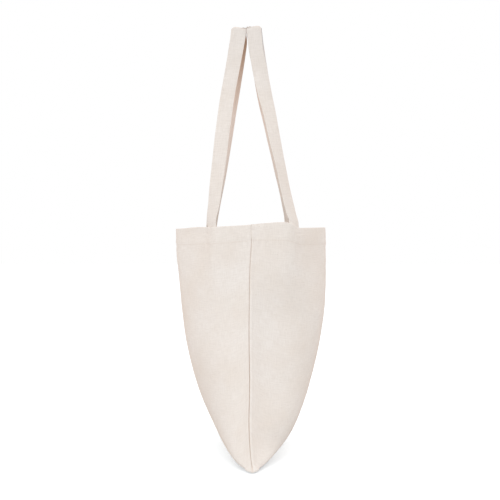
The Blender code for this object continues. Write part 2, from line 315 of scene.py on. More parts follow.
@dataclass(frozen=True)
class BagForm:
    """The opened bag's shape: how the flat cloth lies in space."""

    width: float = 0.38
    height: float = 0.417
    mouth_length: float = 0.2045
    mouth_depth: float = 0.2763
    fold_length: float = 0.3773
    fold_arch: float = 0.0118
    fold_arch_power: float = 1.22
    rim_dip: float = 0.0064
    offset_y: float = 0.0064
    strap_rise: float = 0.3635
    belly_start: float = 0.219
    belly_power: float = 1.025
    wall_lean: float = math.radians(4.8)
    rim_upright: float = 2.5
    back_bulge: float = 0.006
    bulge_up_power: float = 6.0
    bulge_across_power: float = 3.0
    seam_taper: float = 2.44
    ear_turn: float = 8.0
    ear_turn_reach: float = 0.099
    ear_rise: float = 21.9
    ear_rise_least: float = 1.4
    ear_rise_reach: float = 0.284
    seam_crease: float = math.radians(2)
    crease_end: float = 0.75
    crease_end_width: float = 0.45
    cone_fullness: float = 1.27
    cone_reach: float = 0.104
    rim_zone: float = 0.78
    rim_zone_width: float = 0.5
    foot_turn_share: float = 0.58
    foot_turn_width: float = 0.16
    centre_turn_width: float = 0.30
    foot_inset: float = 0.076
    strap_width: float = 0.0275
    samples: int = 257

    @property
    def half_width(self) -> float:
        """Half the flat bag's width."""
        return self.width / 2

    @property
    def foot_u(self) -> float:
        """u at the middle of a handle's foot."""
        return 1 - self.foot_inset / self.half_width

    @property
    def foot_half_u(self) -> float:
        """Half a foot's width, in u."""
        return self.strap_width / 2 / self.half_width

    @property
    def rim_z(self) -> float:
        """The height of the rim at the side seams."""
        return -self.strap_rise

    def seam_line(self, v: Array) -> tuple[Array, Array]:
        """The side seam: X sweeps inward by (1 - v)^taper, and the line keeps its length.

        Args:
            v: Places up the seam.

        Returns:
            X and height above the fold at each place.
        """
        along = np.linspace(0, 1, self.samples)
        flare = (self.fold_length - self.mouth_length) / 2
        x = self.mouth_length / 2 + flare * (1 - along) ** self.seam_taper
        rise = np.sqrt(np.maximum(self.height**2 - np.gradient(x, along) ** 2, 0))
        return np.interp(v, along, x), np.interp(v, along, running_sum(rise))

    def belly_line(self, v: Array) -> tuple[Array, Array]:
        """The panel's middle line, the running sum of its slope off the vertical.

        The slope is level at the fold and dies away by a stretched exponential to a small lean.

        Args:
            v: Places up the line.

        Returns:
            Depth from the bag's middle and height above the fold at each place.
        """
        along = np.linspace(0, 1, self.samples)
        floor_share = np.exp(-((along / self.belly_start) ** self.belly_power))
        lean = self.wall_lean * (1 - along**self.rim_upright)
        slope = math.pi / 2 * floor_share + lean * (1 - floor_share)
        depth = running_sum(np.sin(slope))
        height = running_sum(np.cos(slope)) * self.height
        depth *= self.mouth_depth / 2 / depth[-1]
        return np.interp(v, along, depth), np.interp(v, along, height)

    def cross_section(self, across: Array, v: Array) -> tuple[Array, Array]:
        """Shares of length and depth across a panel, from the way the cloth turns.

        Low down the cloth turns close to the seam, higher it turns evenly, and at the rim it
        turns beside the handle's foot and in the middle.

        Args:
            across: Distances from the panel's middle, 0 to 1 at the seam.
            v: The rows' shares of the cloth's height.

        Returns:
            The two shares, as (columns, rows).
        """
        along = np.linspace(0, 1, self.samples)[None, :]
        row = v[:, None]
        power = 1 + self.ear_turn * np.exp(-row / self.ear_turn_reach)
        even_turn = 1 - (1 - along) ** power
        foot_edge = 1 - self.foot_u - self.foot_half_u
        foot = smooth_step(along, foot_edge, self.foot_turn_width)
        middle = 2 * smooth_step(along, 1, self.centre_turn_width)
        rim_turn = self.foot_turn_share * foot + (1 - self.foot_turn_share) * middle
        rim_share = smooth_step(row, self.rim_zone, self.rim_zone_width)
        crease = self.seam_crease * (1 - smooth_step(row, self.crease_end, self.crease_end_width))
        turned = (1 - rim_share) * even_turn + rim_share * rim_turn
        angle = crease + (math.pi / 2 - crease) * turned
        sums = (running_sum(wave(angle)) for wave in (np.sin, np.cos))
        length, depth = (total / total[:, -1:] for total in sums)
        length, depth = (
            np.stack([np.interp(1 - across, along[0], line) for line in share], -1)
            for share in (1 - length, depth)
        )
        return length, depth

    def wall(self, u: Array, v: Array, side: Side) -> Array:
        """Points of the middle of the cloth.

        Each row is a cross-section between the seam line and the belly line. Its height goes
        from the belly's to the seam's by a power of u that is steep near the fold, and near
        the bottom corner the depth passes over into a cone of folded cloth.

        Args:
            u: Places across the panel, -1 to 1.
            v: Places up the panel, 0 to 1.
            side: The panel.

        Returns:
            The points in space, as (columns, rows, 3).
        """
        seam_x, seam_z = self.seam_line(v)
        belly_y, belly_z = self.belly_line(v)
        rim_height = self.seam_line(np.array([1.0]))[1][0]
        belly_top = self.belly_line(np.array([1.0]))[1][0]
        belly_z = belly_z + (rim_height - self.rim_dip - self.fold_arch - belly_top) * v
        across = np.abs(u)[:, None]
        row = v[None, :]
        length, depth = self.cross_section(np.abs(u), v)
        steepness = self.ear_rise_least + self.ear_rise * np.exp(-row / self.ear_rise_reach)
        toward_seam = across**steepness

        beside, above, from_corner = self.corner(u, v)
        cone_depth = self.cone_fullness * beside * above / from_corner
        cone_share = np.exp(-((from_corner / self.cone_reach) ** 2))
        half_depth = belly_y * depth * (1 - cone_share) + cone_depth * cone_share
        bulge = (1 - row**self.bulge_up_power) * (1 - across**self.bulge_across_power)

        points = np.zeros((len(u), len(v), 3))
        points[..., 0] = np.sign(u)[:, None] * seam_x * length
        points[..., 1] = side.value * half_depth + self.offset_y + self.back_bulge * bulge
        points[..., 2] = self.fold_arch * (1 - across**self.fold_arch_power) - rim_height
        points[..., 2] += belly_z * (1 - toward_seam) + seam_z * toward_seam + self.rim_z
        return points

    def corner(self, u: Array, v: Array) -> tuple[Array, Array, Array]:
        """How far places on the flat cloth are from the nearer bottom corner.

        Args:
            u: Places across the panel.
            v: Places up the panel.

        Returns:
            The distances beside it, above it and straight from it.
        """
        beside = (1 - np.abs(u))[:, None] * self.half_width
        above = v[None, :] * self.height
        return beside, above, np.hypot(beside, above) + CORNER_ROOM


@dataclass(frozen=True)
class PanelWear:
    """What hanging and sewing do to one panel.

    The rim's rise, the feet's pull along Y at the near and the far foot, and the fall beside
    the seams are curves over u from the middle out. The share of its depth that the panel keeps
    is a curve over v.
    """

    rim: Knots
    near_push: Knots
    far_push: Knots
    depth: Knots
    side_fall: Knots
    ridge: float
    seed: int


@dataclass(frozen=True)
class Wear:
    """What hanging and sewing do to the plain shape, seen on the near side in the photograph."""

    front: PanelWear = PanelWear(
        rim=((0.0, 0.0015), (0.2, 0.0026), (0.37, 0.0042), (0.50, 0.0034), (0.62, 0.0022),
             (0.8, 0.0012), (1.0, 0.0)),
        near_push=((0.0, 0.0), (0.40, 0.0034), (0.53, 0.0047), (0.67, 0.0020), (0.85, 0.0006),
                   (1.0, 0.0)),
        far_push=((0.0, 0.0), (0.40, -0.0040), (0.53, -0.0058), (0.67, -0.0050),
                  (0.85, -0.0020), (1.0, 0.0)),
        depth=((0.0, 1.0), (0.08, 0.97), (0.17, 0.967), (0.30, 0.978), (0.42, 0.988),
               (0.65, 0.996), (0.80, 0.988), (0.92, 0.991), (1.0, 0.975)),
        side_fall=((0.0, 0.0), (1.0, 0.0)),
        ridge=0.0006,
        seed=11,
    )
    back: PanelWear = PanelWear(
        rim=((0.0, 0.0042), (0.25, 0.0038), (0.44, 0.0026), (0.53, 0.0018), (0.585, 0.0036),
             (0.655, 0.0076), (0.70, 0.0090), (0.78, 0.0080), (0.85, 0.0058), (0.93, 0.0030),
             (1.0, 0.0005)),
        near_push=((0.0, 0.0), (0.40, 0.0028), (0.53, 0.0040), (0.67, 0.0057), (0.85, 0.0026),
                   (1.0, 0.0)),
        far_push=((0.0, 0.0), (0.40, 0.0050), (0.53, 0.0066), (0.67, 0.0070), (0.85, 0.0028),
                  (1.0, 0.0)),
        depth=((0.0, 1.0), (0.08, 1.033), (0.16, 1.036), (0.27, 1.004), (0.38, 0.988),
               (0.56, 0.999), (0.66, 1.003), (0.77, 0.998), (0.90, 0.985), (1.0, 0.998)),
        side_fall=((0.0, 0.0), (0.3, 0.001), (0.55, 0.008), (0.78, 0.0130), (0.9, 0.0090),
                   (1.0, 0.0)),
        ridge=0.0011,
        seed=23,
    )
    seam_wander: Knots = (
        (0.0, 0.0040), (0.06, 0.0012), (0.17, -0.0016), (0.335, -0.0007), (0.556, -0.0017),
        (0.73, -0.0009), (0.835, 0.0), (0.92, 0.0024), (1.0, 0.0020),
    )
    far_seam_wander: Knots = (
        (0.0, 0.0015), (0.2, 0.0006), (0.5, -0.0011), (0.8, 0.0006), (1.0, 0.0010),
    )
    wander_power: float = 7.0
    rim_reach: float = 0.16
    push_reach: float = 0.22
    fall_start: Span = (0.12, 0.20)
    fall_end: Span = (0.74, 0.22)
    low_dent: float = 0.80
    low_dent_spot: Span = (0.13, 0.07)
    tip_spread: float = 0.0046
    tip_spot: Span = (0.0085, 0.006)
    broad: float = 0.0011
    broad_waves: Waves = (14, 0.20, 0.07)
    broad_off_seam: Span = (0.02, 0.04)
    broad_off_fold: Span = (0.03, 0.06)
    fine: float = 0.00022
    fine_waves: Waves = (24, 0.034, 0.014)
    jitter_waves: Waves = (9, 0.06, 0.02)
    jitter_stretch: float = 0.2
    pucker: float = 0.00035
    pucker_pitch: float = 0.0085
    pucker_reach: float = 0.007
    pucker_jitter: float = 0.8
    ridge_spot: Span = (0.0030, 0.0018)
    hem_step: float = 0.00035
    hem_step_spot: Span = (0.0278, 0.0030)
    hem_groove: float = 0.00025
    hem_groove_spot: Span = (0.0262, 0.0013)
    hem_pucker: float = 0.00042
    hem_pucker_pitch: float = 0.011
    hem_pucker_spot: Span = (0.027, 0.009)
    hem_pucker_jitter: float = 0.9
    wrinkle: float = 0.00085
    wrinkle_pitch: float = 0.0058
    wrinkle_slant: float = 0.8
    wrinkle_jitter: float = 3.0
    wrinkle_inward: float = 0.011
    wrinkle_across: float = 0.010
    wrinkle_below: Span = (0.010, 0.008)
    drag: float = 0.0008
    drag_slant: float = 0.25
    drag_start: float = 0.03
    drag_fold: Span = (0.0, 0.006)
    drag_trough: Span = (0.013, 0.007)
    trough_share: float = 0.6
    drag_below: Span = (0.035, 0.025)
    still_seam: Span = (0.001, 0.002)
    still_fold: Span = (0.004, 0.008)


@dataclass(frozen=True)
class Sewing:
    """The cloth's thickness and the sizes of its folds, seams and stitches."""

    cloth: float = 0.0006
    layer_gap: float = 0.0003
    hem: float = 0.028
    allowance: float = 0.010
    seam_bend: float = 0.0010
    mitre: float = 0.012
    thread: float = 0.00034
    stitch: float = 0.0026
    stitch_pitch: float = 0.0033
    stitch_rings: int = 6
    stitch_sides: int = 5
    stitch_round: float = 0.8
    stitch_arch: float = 1.1
    stitch_sink: float = 0.62
    hem_line: float = 0.0262
    box_inset: float = 0.003
    strap: float = 0.0019
    foot_depth: float = 0.026

    @property
    def hem_inside(self) -> float:
        """How far inside the wall's middle the hem's inner face lies."""
        return self.cloth * 1.5 + self.layer_gap

    @property
    def foot_inside(self) -> float:
        """How far inside the wall's middle the inner face of a strap's foot lies."""
        return self.hem_inside + self.layer_gap + self.strap

    @property
    def foot_middle(self) -> float:
        """How far inside the wall's middle the middle of a strap's foot lies."""
        return self.cloth * 1.5 + self.layer_gap * 2 + self.strap / 2

    def stitches(self, name: str, rows: list[Row]) -> bpy.types.Object:
        """Short sewn threads, each an arched tube that dips into the cloth at its ends.

        A stitch's centre line is a half sine over its length, and its radius closes at both
        ends by a power of the same sine.

        Args:
            name: The piece's name.
            rows: Each row's centres on the cloth, unit ways of sewing and ways off the cloth.

        Returns:
            One object holding all the stitches.
        """
        centres, along, outward = (np.concatenate(part)[:, None, None] for part in zip(*rows))
        rings, sides = self.stitch_rings, self.stitch_sides
        share = np.linspace(0, 1, rings)
        turn = np.arange(sides) * 2 * np.pi / sides
        arch = np.sin(np.pi * share)
        radius = self.thread / 2 * np.sqrt(np.clip(arch, 0.0, 1)) ** self.stitch_round
        lift = self.thread * (self.stitch_arch * arch - self.stitch_sink)
        outward = unit(outward - (outward * along).sum(-1, keepdims=True) * along)
        ring = radius[:, None] * np.stack([np.cos(turn), np.sin(turn)])[:, None, :]
        points = (
            centres
            + along * ((share - 0.5) * self.stitch)[:, None, None]
            + outward * (lift[:, None] + ring[1])[..., None]
            + np.cross(along, outward) * ring[0][..., None]
        )
        one = grid_faces(rings, sides, closed=True)
        first = np.arange(len(centres))[:, None, None] * rings * sides
        return add_mesh(name, points.reshape(-1, 3), (first + one[None]).reshape(-1, 4))


@dataclass
class Panel:
    """One panel's surface on a fine grid, with its relief, and places and ways on it."""

    side: Side
    form: BagForm
    wear: Wear
    u: Array
    v: Array
    points: Array = field(init=False)
    normals: Array = field(init=False)

    def __post_init__(self) -> None:
        """Works out the wall, shifts its seams and rim, and adds the relief of the cloth."""
        points = self.form.wall(self.u, self.v, self.side)
        centre = self.form.offset_y
        depth_share = through_knots(self.v, self.own.depth)
        points[..., 1] = centre + (points[..., 1] - centre) * depth_share
        points[..., 1] += self._seam_shift() + self._foot_push() + self._tip_spread()
        points[..., 0] -= np.sign(self.u)[:, None] * self._side_fall()
        points[..., 2] += self._rim_shift()
        self.points = points + self._outward(points) * self._relief()[..., None]
        self.normals = self._outward(self.points)

    @property
    def own(self) -> PanelWear:
        """The wear of this panel alone."""
        return self.wear.back if self.side is Side.BACK else self.wear.front

    @property
    def _outer(self) -> Array:
        """How far the columns are from the panel's middle, 0 to 1, as (columns, 1)."""
        return np.abs(self.u)[:, None]

    def _by_end(self, place: Array, near: Knots, far: Knots) -> Array:
        """One curve at the near seam's end, where u is positive, and one at the far end."""
        curves = [through_knots(place, knots) for knots in (near, far)]
        return np.where(self.u[:, None] > 0, *curves)

    def _below_rim(self, reach: float) -> Array:
        """A fade from 1 at the rim to 0 below it, over a share of the panel's height."""
        return smooth_step(self.v, 1 - reach / 2, reach)

    def _seam_shift(self) -> Array:
        """How far the seams wander along Y, fading into the panel by a power of u."""
        wander = self._by_end(self.v, self.wear.seam_wander, self.wear.far_seam_wander)
        return self._outer**self.wear.wander_power * wander

    def _foot_push(self) -> Array:
        """How far the handles' feet pull the rim along Y, fading below it."""
        push = self._by_end(self._outer, self.own.near_push, self.own.far_push)
        return push * self._below_rim(self.wear.push_reach)

    def _rim_shift(self) -> Array:
        """How far the handles draw the rim up, fading below it."""
        return through_knots(self._outer, self.own.rim) * self._below_rim(self.wear.rim_reach)

    def _tip_spread(self) -> Array:
        """How far the cloth's layers part the bottom corners along Y.

        A bell over the distance from the corner, times the sine of twice the direction from it,
        so that it is most halfway between the fold and the seam.

        Returns:
            The shift, as (columns, rows).
        """
        beside, above, from_corner = self.form.corner(self.u, self.v)
        between = 2 * beside * above / from_corner**2
        reach = bell(from_corner, *self.wear.tip_spot)
        return self.side.value * self.wear.tip_spread * between * reach

    def _side_fall(self) -> Array:
        """How far the panel falls in beside its seams, below the hem and above the fold.

        Returns:
            The distance toward the bag's middle along X, as (columns, rows).
        """
        wear = self.wear
        fade = smooth_step(self.v, *wear.fall_start) * (1 - smooth_step(self.v, *wear.fall_end))
        fade += wear.low_dent * bell(self.v, *wear.low_dent_spot)
        return through_knots(self._outer, self.own.side_fall) * fade

    def _relief(self) -> Array:
        """Heights over the plain surface.

        Sums of seeded waves give the cloth's broad and fine unevenness. A sine along each seam
        puckers it beside a low ridge. The hem stands proud by a step, with a groove along its
        sewn line and a sine across as its puckers. Slanting sines wrinkle it beside each foot,
        and below the foot a bell less a second one make the fold and trough that it drags.

        Returns:
            Metres off the surface, none at the seams and the fold, as (columns, rows).
        """
        wear, form, seed = self.wear, self.form, self.own.seed
        across = self.u[:, None] * form.half_width * np.ones_like(self.v)
        along = self.v[None, :] * form.height * np.ones_like(self.u)[:, None]
        from_seam = form.half_width - np.abs(across)
        below_rim = form.height - along

        free = smooth_step(from_seam, *wear.broad_off_seam)
        free = free * smooth_step(along, *wear.broad_off_fold)
        height = Ripples(seed, wear.broad_waves).at(across, along) * wear.broad * free
        height += Ripples(seed + 1, wear.fine_waves).at(across, along) * wear.fine
        jitter = Ripples(seed + 2, wear.jitter_waves).at(across * wear.jitter_stretch, along)

        pucker = even_wave(along / wear.pucker_pitch + wear.pucker_jitter * jitter)
        height += wear.pucker * np.exp(-from_seam / wear.pucker_reach) * pucker
        height += self.own.ridge * bell(from_seam, *wear.ridge_spot)

        pucker = even_wave(across / wear.hem_pucker_pitch + wear.hem_pucker_jitter * jitter)
        height += wear.hem_pucker * pucker * bell(below_rim, *wear.hem_pucker_spot)
        height += wear.hem_step * (1 - smooth_step(below_rim, *wear.hem_step_spot))
        height -= wear.hem_groove * bell(below_rim, *wear.hem_groove_spot)

        from_foot = np.abs(across) - form.foot_u * form.half_width
        inward = from_foot + wear.wrinkle_inward
        turn = 2 * np.pi * (inward + wear.wrinkle_slant * below_rim) / wear.wrinkle_pitch
        wrinkle = np.sin(turn + wear.wrinkle_jitter * jitter)
        wrinkle *= bell(inward, 0, wear.wrinkle_across) * bell(below_rim, *wear.wrinkle_below)
        height += wear.wrinkle * wrinkle
        fan = from_foot - wear.drag_slant * (below_rim - wear.drag_start)
        drag = bell(fan, *wear.drag_fold) - wear.trough_share * bell(fan, *wear.drag_trough)
        height += wear.drag * drag * bell(below_rim, *wear.drag_below)
        still = smooth_step(from_seam, *wear.still_seam) * smooth_step(along, *wear.still_fold)
        return height * still

    def _outward(self, points: Array) -> Array:
        """Normals out of the bag, from the grid's own directions, square to Y at the seams.

        Args:
            points: The surface, as (columns, rows, 3).

        Returns:
            Unit directions, one per point.
        """
        across = np.gradient(points, self.u, axis=0)
        up = np.gradient(points, self.v, axis=1)
        normals = unit(np.cross(across, up)) * -self.side.value
        normals[[0, -1], :, 1] = 0
        return unit(normals)

    def at(self, u: Array | float, v: Array) -> tuple[Array, Array, Array, Array]:
        """Places, normals and the two running directions, bilinear between grid points.

        Args:
            u: Places across the panel.
            v: Places up the panel, in a shape that goes with u's.

        Returns:
            Points, outward normals, directions of rising u and of rising v.
        """
        u, v = np.broadcast_arrays(u, v)
        column = np.interp(u, self.u, np.arange(len(self.u)))
        row = np.interp(v, self.v, np.arange(len(self.v)))
        i = np.clip(column.astype(int), 0, len(self.u) - 2)
        j = np.clip(row.astype(int), 0, len(self.v) - 2)
        normal = unit(bilinear(self.normals, column, row))
        across = unit(self.points[i + 1, j] - self.points[i, j])
        up = unit(np.cross(normal, across)) * -self.side.value
        up *= np.sign((up * (self.points[i, j + 1] - self.points[i, j])).sum(-1, keepdims=True))
        return bilinear(self.points, column, row), normal, across, up


@dataclass
class ClothBody:
    """The bag's one cloth, folded at the bottom, sewn up both sides and hemmed at the rim."""

    form: BagForm
    sewing: Sewing
    panels: dict[Side, Panel]
    rows: int = 176
    end_rows: float = 0.35
    half_columns: int = 44
    crowding: float = 0.8
    bend_steps: int = 4
    allowance_steps: int = 3
    hem_rows: int = 12
    hem_turn: tuple[float, ...] = (0.25, 0.5, 0.75)
    opening_start: float = 0.002
    opening_length: float = 0.010
    opening_stop: float = 0.019
    opening_close: float = 0.006
    hem_room: float = 0.0014
    hem_room_reach: float = 0.005
    layer_play: float = 0.0001
    join_distance: float = 0.00002

    @property
    def _columns(self) -> Array:
        """Columns across the panel, -1 to 1, closer together toward the seams."""
        return toward_seams(self.half_columns + 1, self.crowding)

    @property
    def _wall_rows(self) -> Array:
        """Rows up the wall, 0 to 1, closer together at the fold and at the rim."""
        return toward_ends(self.rows, self.end_rows)

    @property
    def _edge_steps(self) -> int:
        """How many columns lie past each of a panel's edges."""
        return self.bend_steps + self.allowance_steps

    def _inside(self, v: Array, ramp: float, below_rim: float, end_ramp: float) -> Array:
        """1 up the seam, with smooth steps to 0 at the bottom corner and below the rim.

        Args:
            v: Places up the seam.
            ramp: The lower step's length.
            below_rim: Where the upper step ends, below the rim.
            end_ramp: The upper step's length.

        Returns:
            Shares from 0 to 1.
        """
        along = v * self.form.height
        lower = smooth_step(along, self.opening_start + ramp / 2, ramp)
        stop = self.form.height - below_rim - end_ramp / 2
        return lower * (1 - smooth_step(along, stop, end_ramp))

    def _opening(self, v: Array) -> Array:
        """How far the seam's groove is open, closed at the bottom corner and inside the hem."""
        return self._inside(v, self.opening_length, self.opening_stop, self.opening_close)

    def _allowance(self, v: Array) -> Array:
        """The allowance's depth inside the bag, cut slanting at both ends."""
        mitre = self.sewing.mitre
        return self._inside(v, mitre, self.sewing.hem, mitre) * self.sewing.allowance

    def _seam_edge(self, panel: Panel, v: Array, edge: Array, end: int) -> tuple[Array, Array]:
        """The cloth past a panel's edge: a quarter turn into the bag, then the allowance.

        Args:
            panel: The panel.
            v: Its rows, rising.
            edge: The panel's edge, one point per row.
            end: Which seam, -1 or 1.

        Returns:
            The points as (columns, rows, 3), going inward, and their flat distances.
        """
        seam = panel.at(float(end), v)[0]
        rise = np.gradient(seam, axis=0)
        inward = unit(np.stack([-end * rise[:, 2], 0 * v, end * rise[:, 0]], -1))
        lateral = np.array([0.0, panel.side.value, 0.0])
        opening = self._opening(v)
        gap = (self.sewing.cloth / 2 + self.layer_play) * opening
        radius = self.sewing.seam_bend * opening
        start = seam + lateral * (gap + radius)[:, None]

        turn = np.linspace(0, math.pi / 2, self.bend_steps + 1)[1:, None, None]
        bend = (
            seam
            + lateral * (gap[:, None] + radius[:, None] * (1 - np.sin(turn)))
            + inward * radius[:, None] * (1 - np.cos(turn))
            + (edge - start) * (1 - turn / (math.pi / 2))
        )
        share = np.linspace(0, 1, self.allowance_steps + 1)[1:, None, None]
        inside = radius[:, None] + share * self._allowance(v)[:, None]
        tongue = seam + lateral * gap[:, None] + inward * inside
        reach = turn[..., 0] * self.sewing.seam_bend
        flat = np.concatenate([reach, reach[-1] + share[..., 0] * self.sewing.allowance])
        return np.concatenate([bend, tongue]), np.broadcast_to(flat, (len(flat), len(v)))

    def _wall(self, side: Side) -> tuple[Array, Array]:
        """A panel's outer layer with both seam edges.

        Args:
            side: The panel.

        Returns:
            Points and flat places, as (columns, rows, 3) and (columns, rows, 2), v rising.
        """
        panel, v = self.panels[side], self._wall_rows
        opening = self._opening(v)
        reach = (self.sewing.cloth / 2 + self.layer_play + self.sewing.seam_bend) * opening
        u = self._columns[:, None] * (1 - reach / self.form.half_width)[None, :]
        points = panel.at(u, v)[0]
        near, near_flat = self._seam_edge(panel, v, points[-1], 1)
        far, far_flat = self._seam_edge(panel, v, points[0], -1)
        across = u * self.form.half_width
        across = np.concatenate([across[0] - far_flat[::-1], across, across[-1] + near_flat])
        flat = np.stack([across, np.broadcast_to(v * self.form.height, across.shape)], -1)
        return np.concatenate([far[::-1], points, near]), flat

    def _hem(self, side: Side) -> tuple[Array, Array]:
        """The hem from the rim's fold down the inside.

        The fold is a half turn about a line one radius inside the cloth. The hem's lower edge
        curls toward the wall, and beside the side seam it makes room for the seam's turned edges.

        Args:
            side: The panel.

        Returns:
            Points and flat places, as (columns, rows, 3) and (columns, rows, 2), going down.
        """
        panel, sewing = self.panels[side], self.sewing
        depth = sewing.cloth + sewing.layer_gap
        turn = np.array(self.hem_turn) * math.pi
        below = np.concatenate([0 * turn, np.linspace(0, sewing.hem, self.hem_rows)])
        sunk = np.concatenate([(1 - np.cos(turn)) / 2, np.ones(self.hem_rows)]) * depth
        raised = np.concatenate([np.sin(turn) * depth / 2, np.zeros(self.hem_rows)])
        sunk[-1] -= sewing.layer_gap
        below[-2] = sewing.hem - sewing.layer_gap
        u = self._columns[:, None]
        points, normal, _, up = panel.at(u, 1 - below / self.form.height)
        room = bell((1 - np.abs(u)) * self.form.half_width, 0.0, self.hem_room_reach)
        room = self.hem_room * room * smooth_step(below, self.opening_stop, self.opening_close)
        points = points + up * raised[:, None] - normal * (sunk + room)[..., None]
        flat = np.broadcast_arrays(u * self.form.half_width, self.form.height + below)
        flat = np.stack(flat, -1)
        extra = ((self._edge_steps,) * 2, (0, 0), (0, 0))
        return np.pad(points, extra, mode="edge"), np.pad(flat, extra, mode="edge")

    def build(self) -> bpy.types.Object:
        """The cloth as one sheet with its thickness, hem to fold to hem.

        Past a panel's edges only the rows where the seam's groove is open have faces.

        Returns:
            The piece, with a live Solidify for its thickness.
        """
        points, flats = [], []
        for side in Side:
            wall, wall_flat = self._wall(side)
            hem, hem_flat = self._hem(side)
            points.append(np.concatenate([wall, hem], axis=1))
            flats.append(np.concatenate([wall_flat, hem_flat], axis=1))
        grid = np.concatenate([points[0][:, :0:-1], points[1]], axis=1)
        front_flat = flats[0][:, :0:-1] * [1, -1]
        flat = np.concatenate([front_flat, flats[1]], axis=1)

        columns, rows = grid.shape[:2]
        opening = self._opening(self._wall_rows) > 0
        some = opening[1:] | opening[:-1]
        half = np.concatenate([some, np.zeros(self.hem_rows + len(self.hem_turn), bool)])
        edge = np.concatenate([half[::-1], half])
        keep = np.ones((columns - 1, rows - 1), bool)
        keep[:self._edge_steps] = keep[-self._edge_steps:] = edge
        faces = grid_faces(columns, rows, keep=keep)
        piece = add_mesh("cloth_body", grid.reshape(-1, 3), faces[:, ::-1], flat.reshape(-1, 2))
        join_seams(piece, self.join_distance, outward=False)
        solid = piece.modifiers.new("thickness", "SOLIDIFY")
        solid.thickness = self.sewing.cloth
        solid.offset = 0
        return piece


@dataclass(frozen=True)
class Hang:
    """How one handle hangs in the photograph, as curves over the height above the rim.

    The twist is 1 where the width lies as at the rim and 0 where it lies across the rail. The
    near and far shifts are the limbs' ways off a straight line along Y.
    """

    twist: Knots
    near_shift: Knots
    far_shift: Knots
    top_raise: float
    seed: int


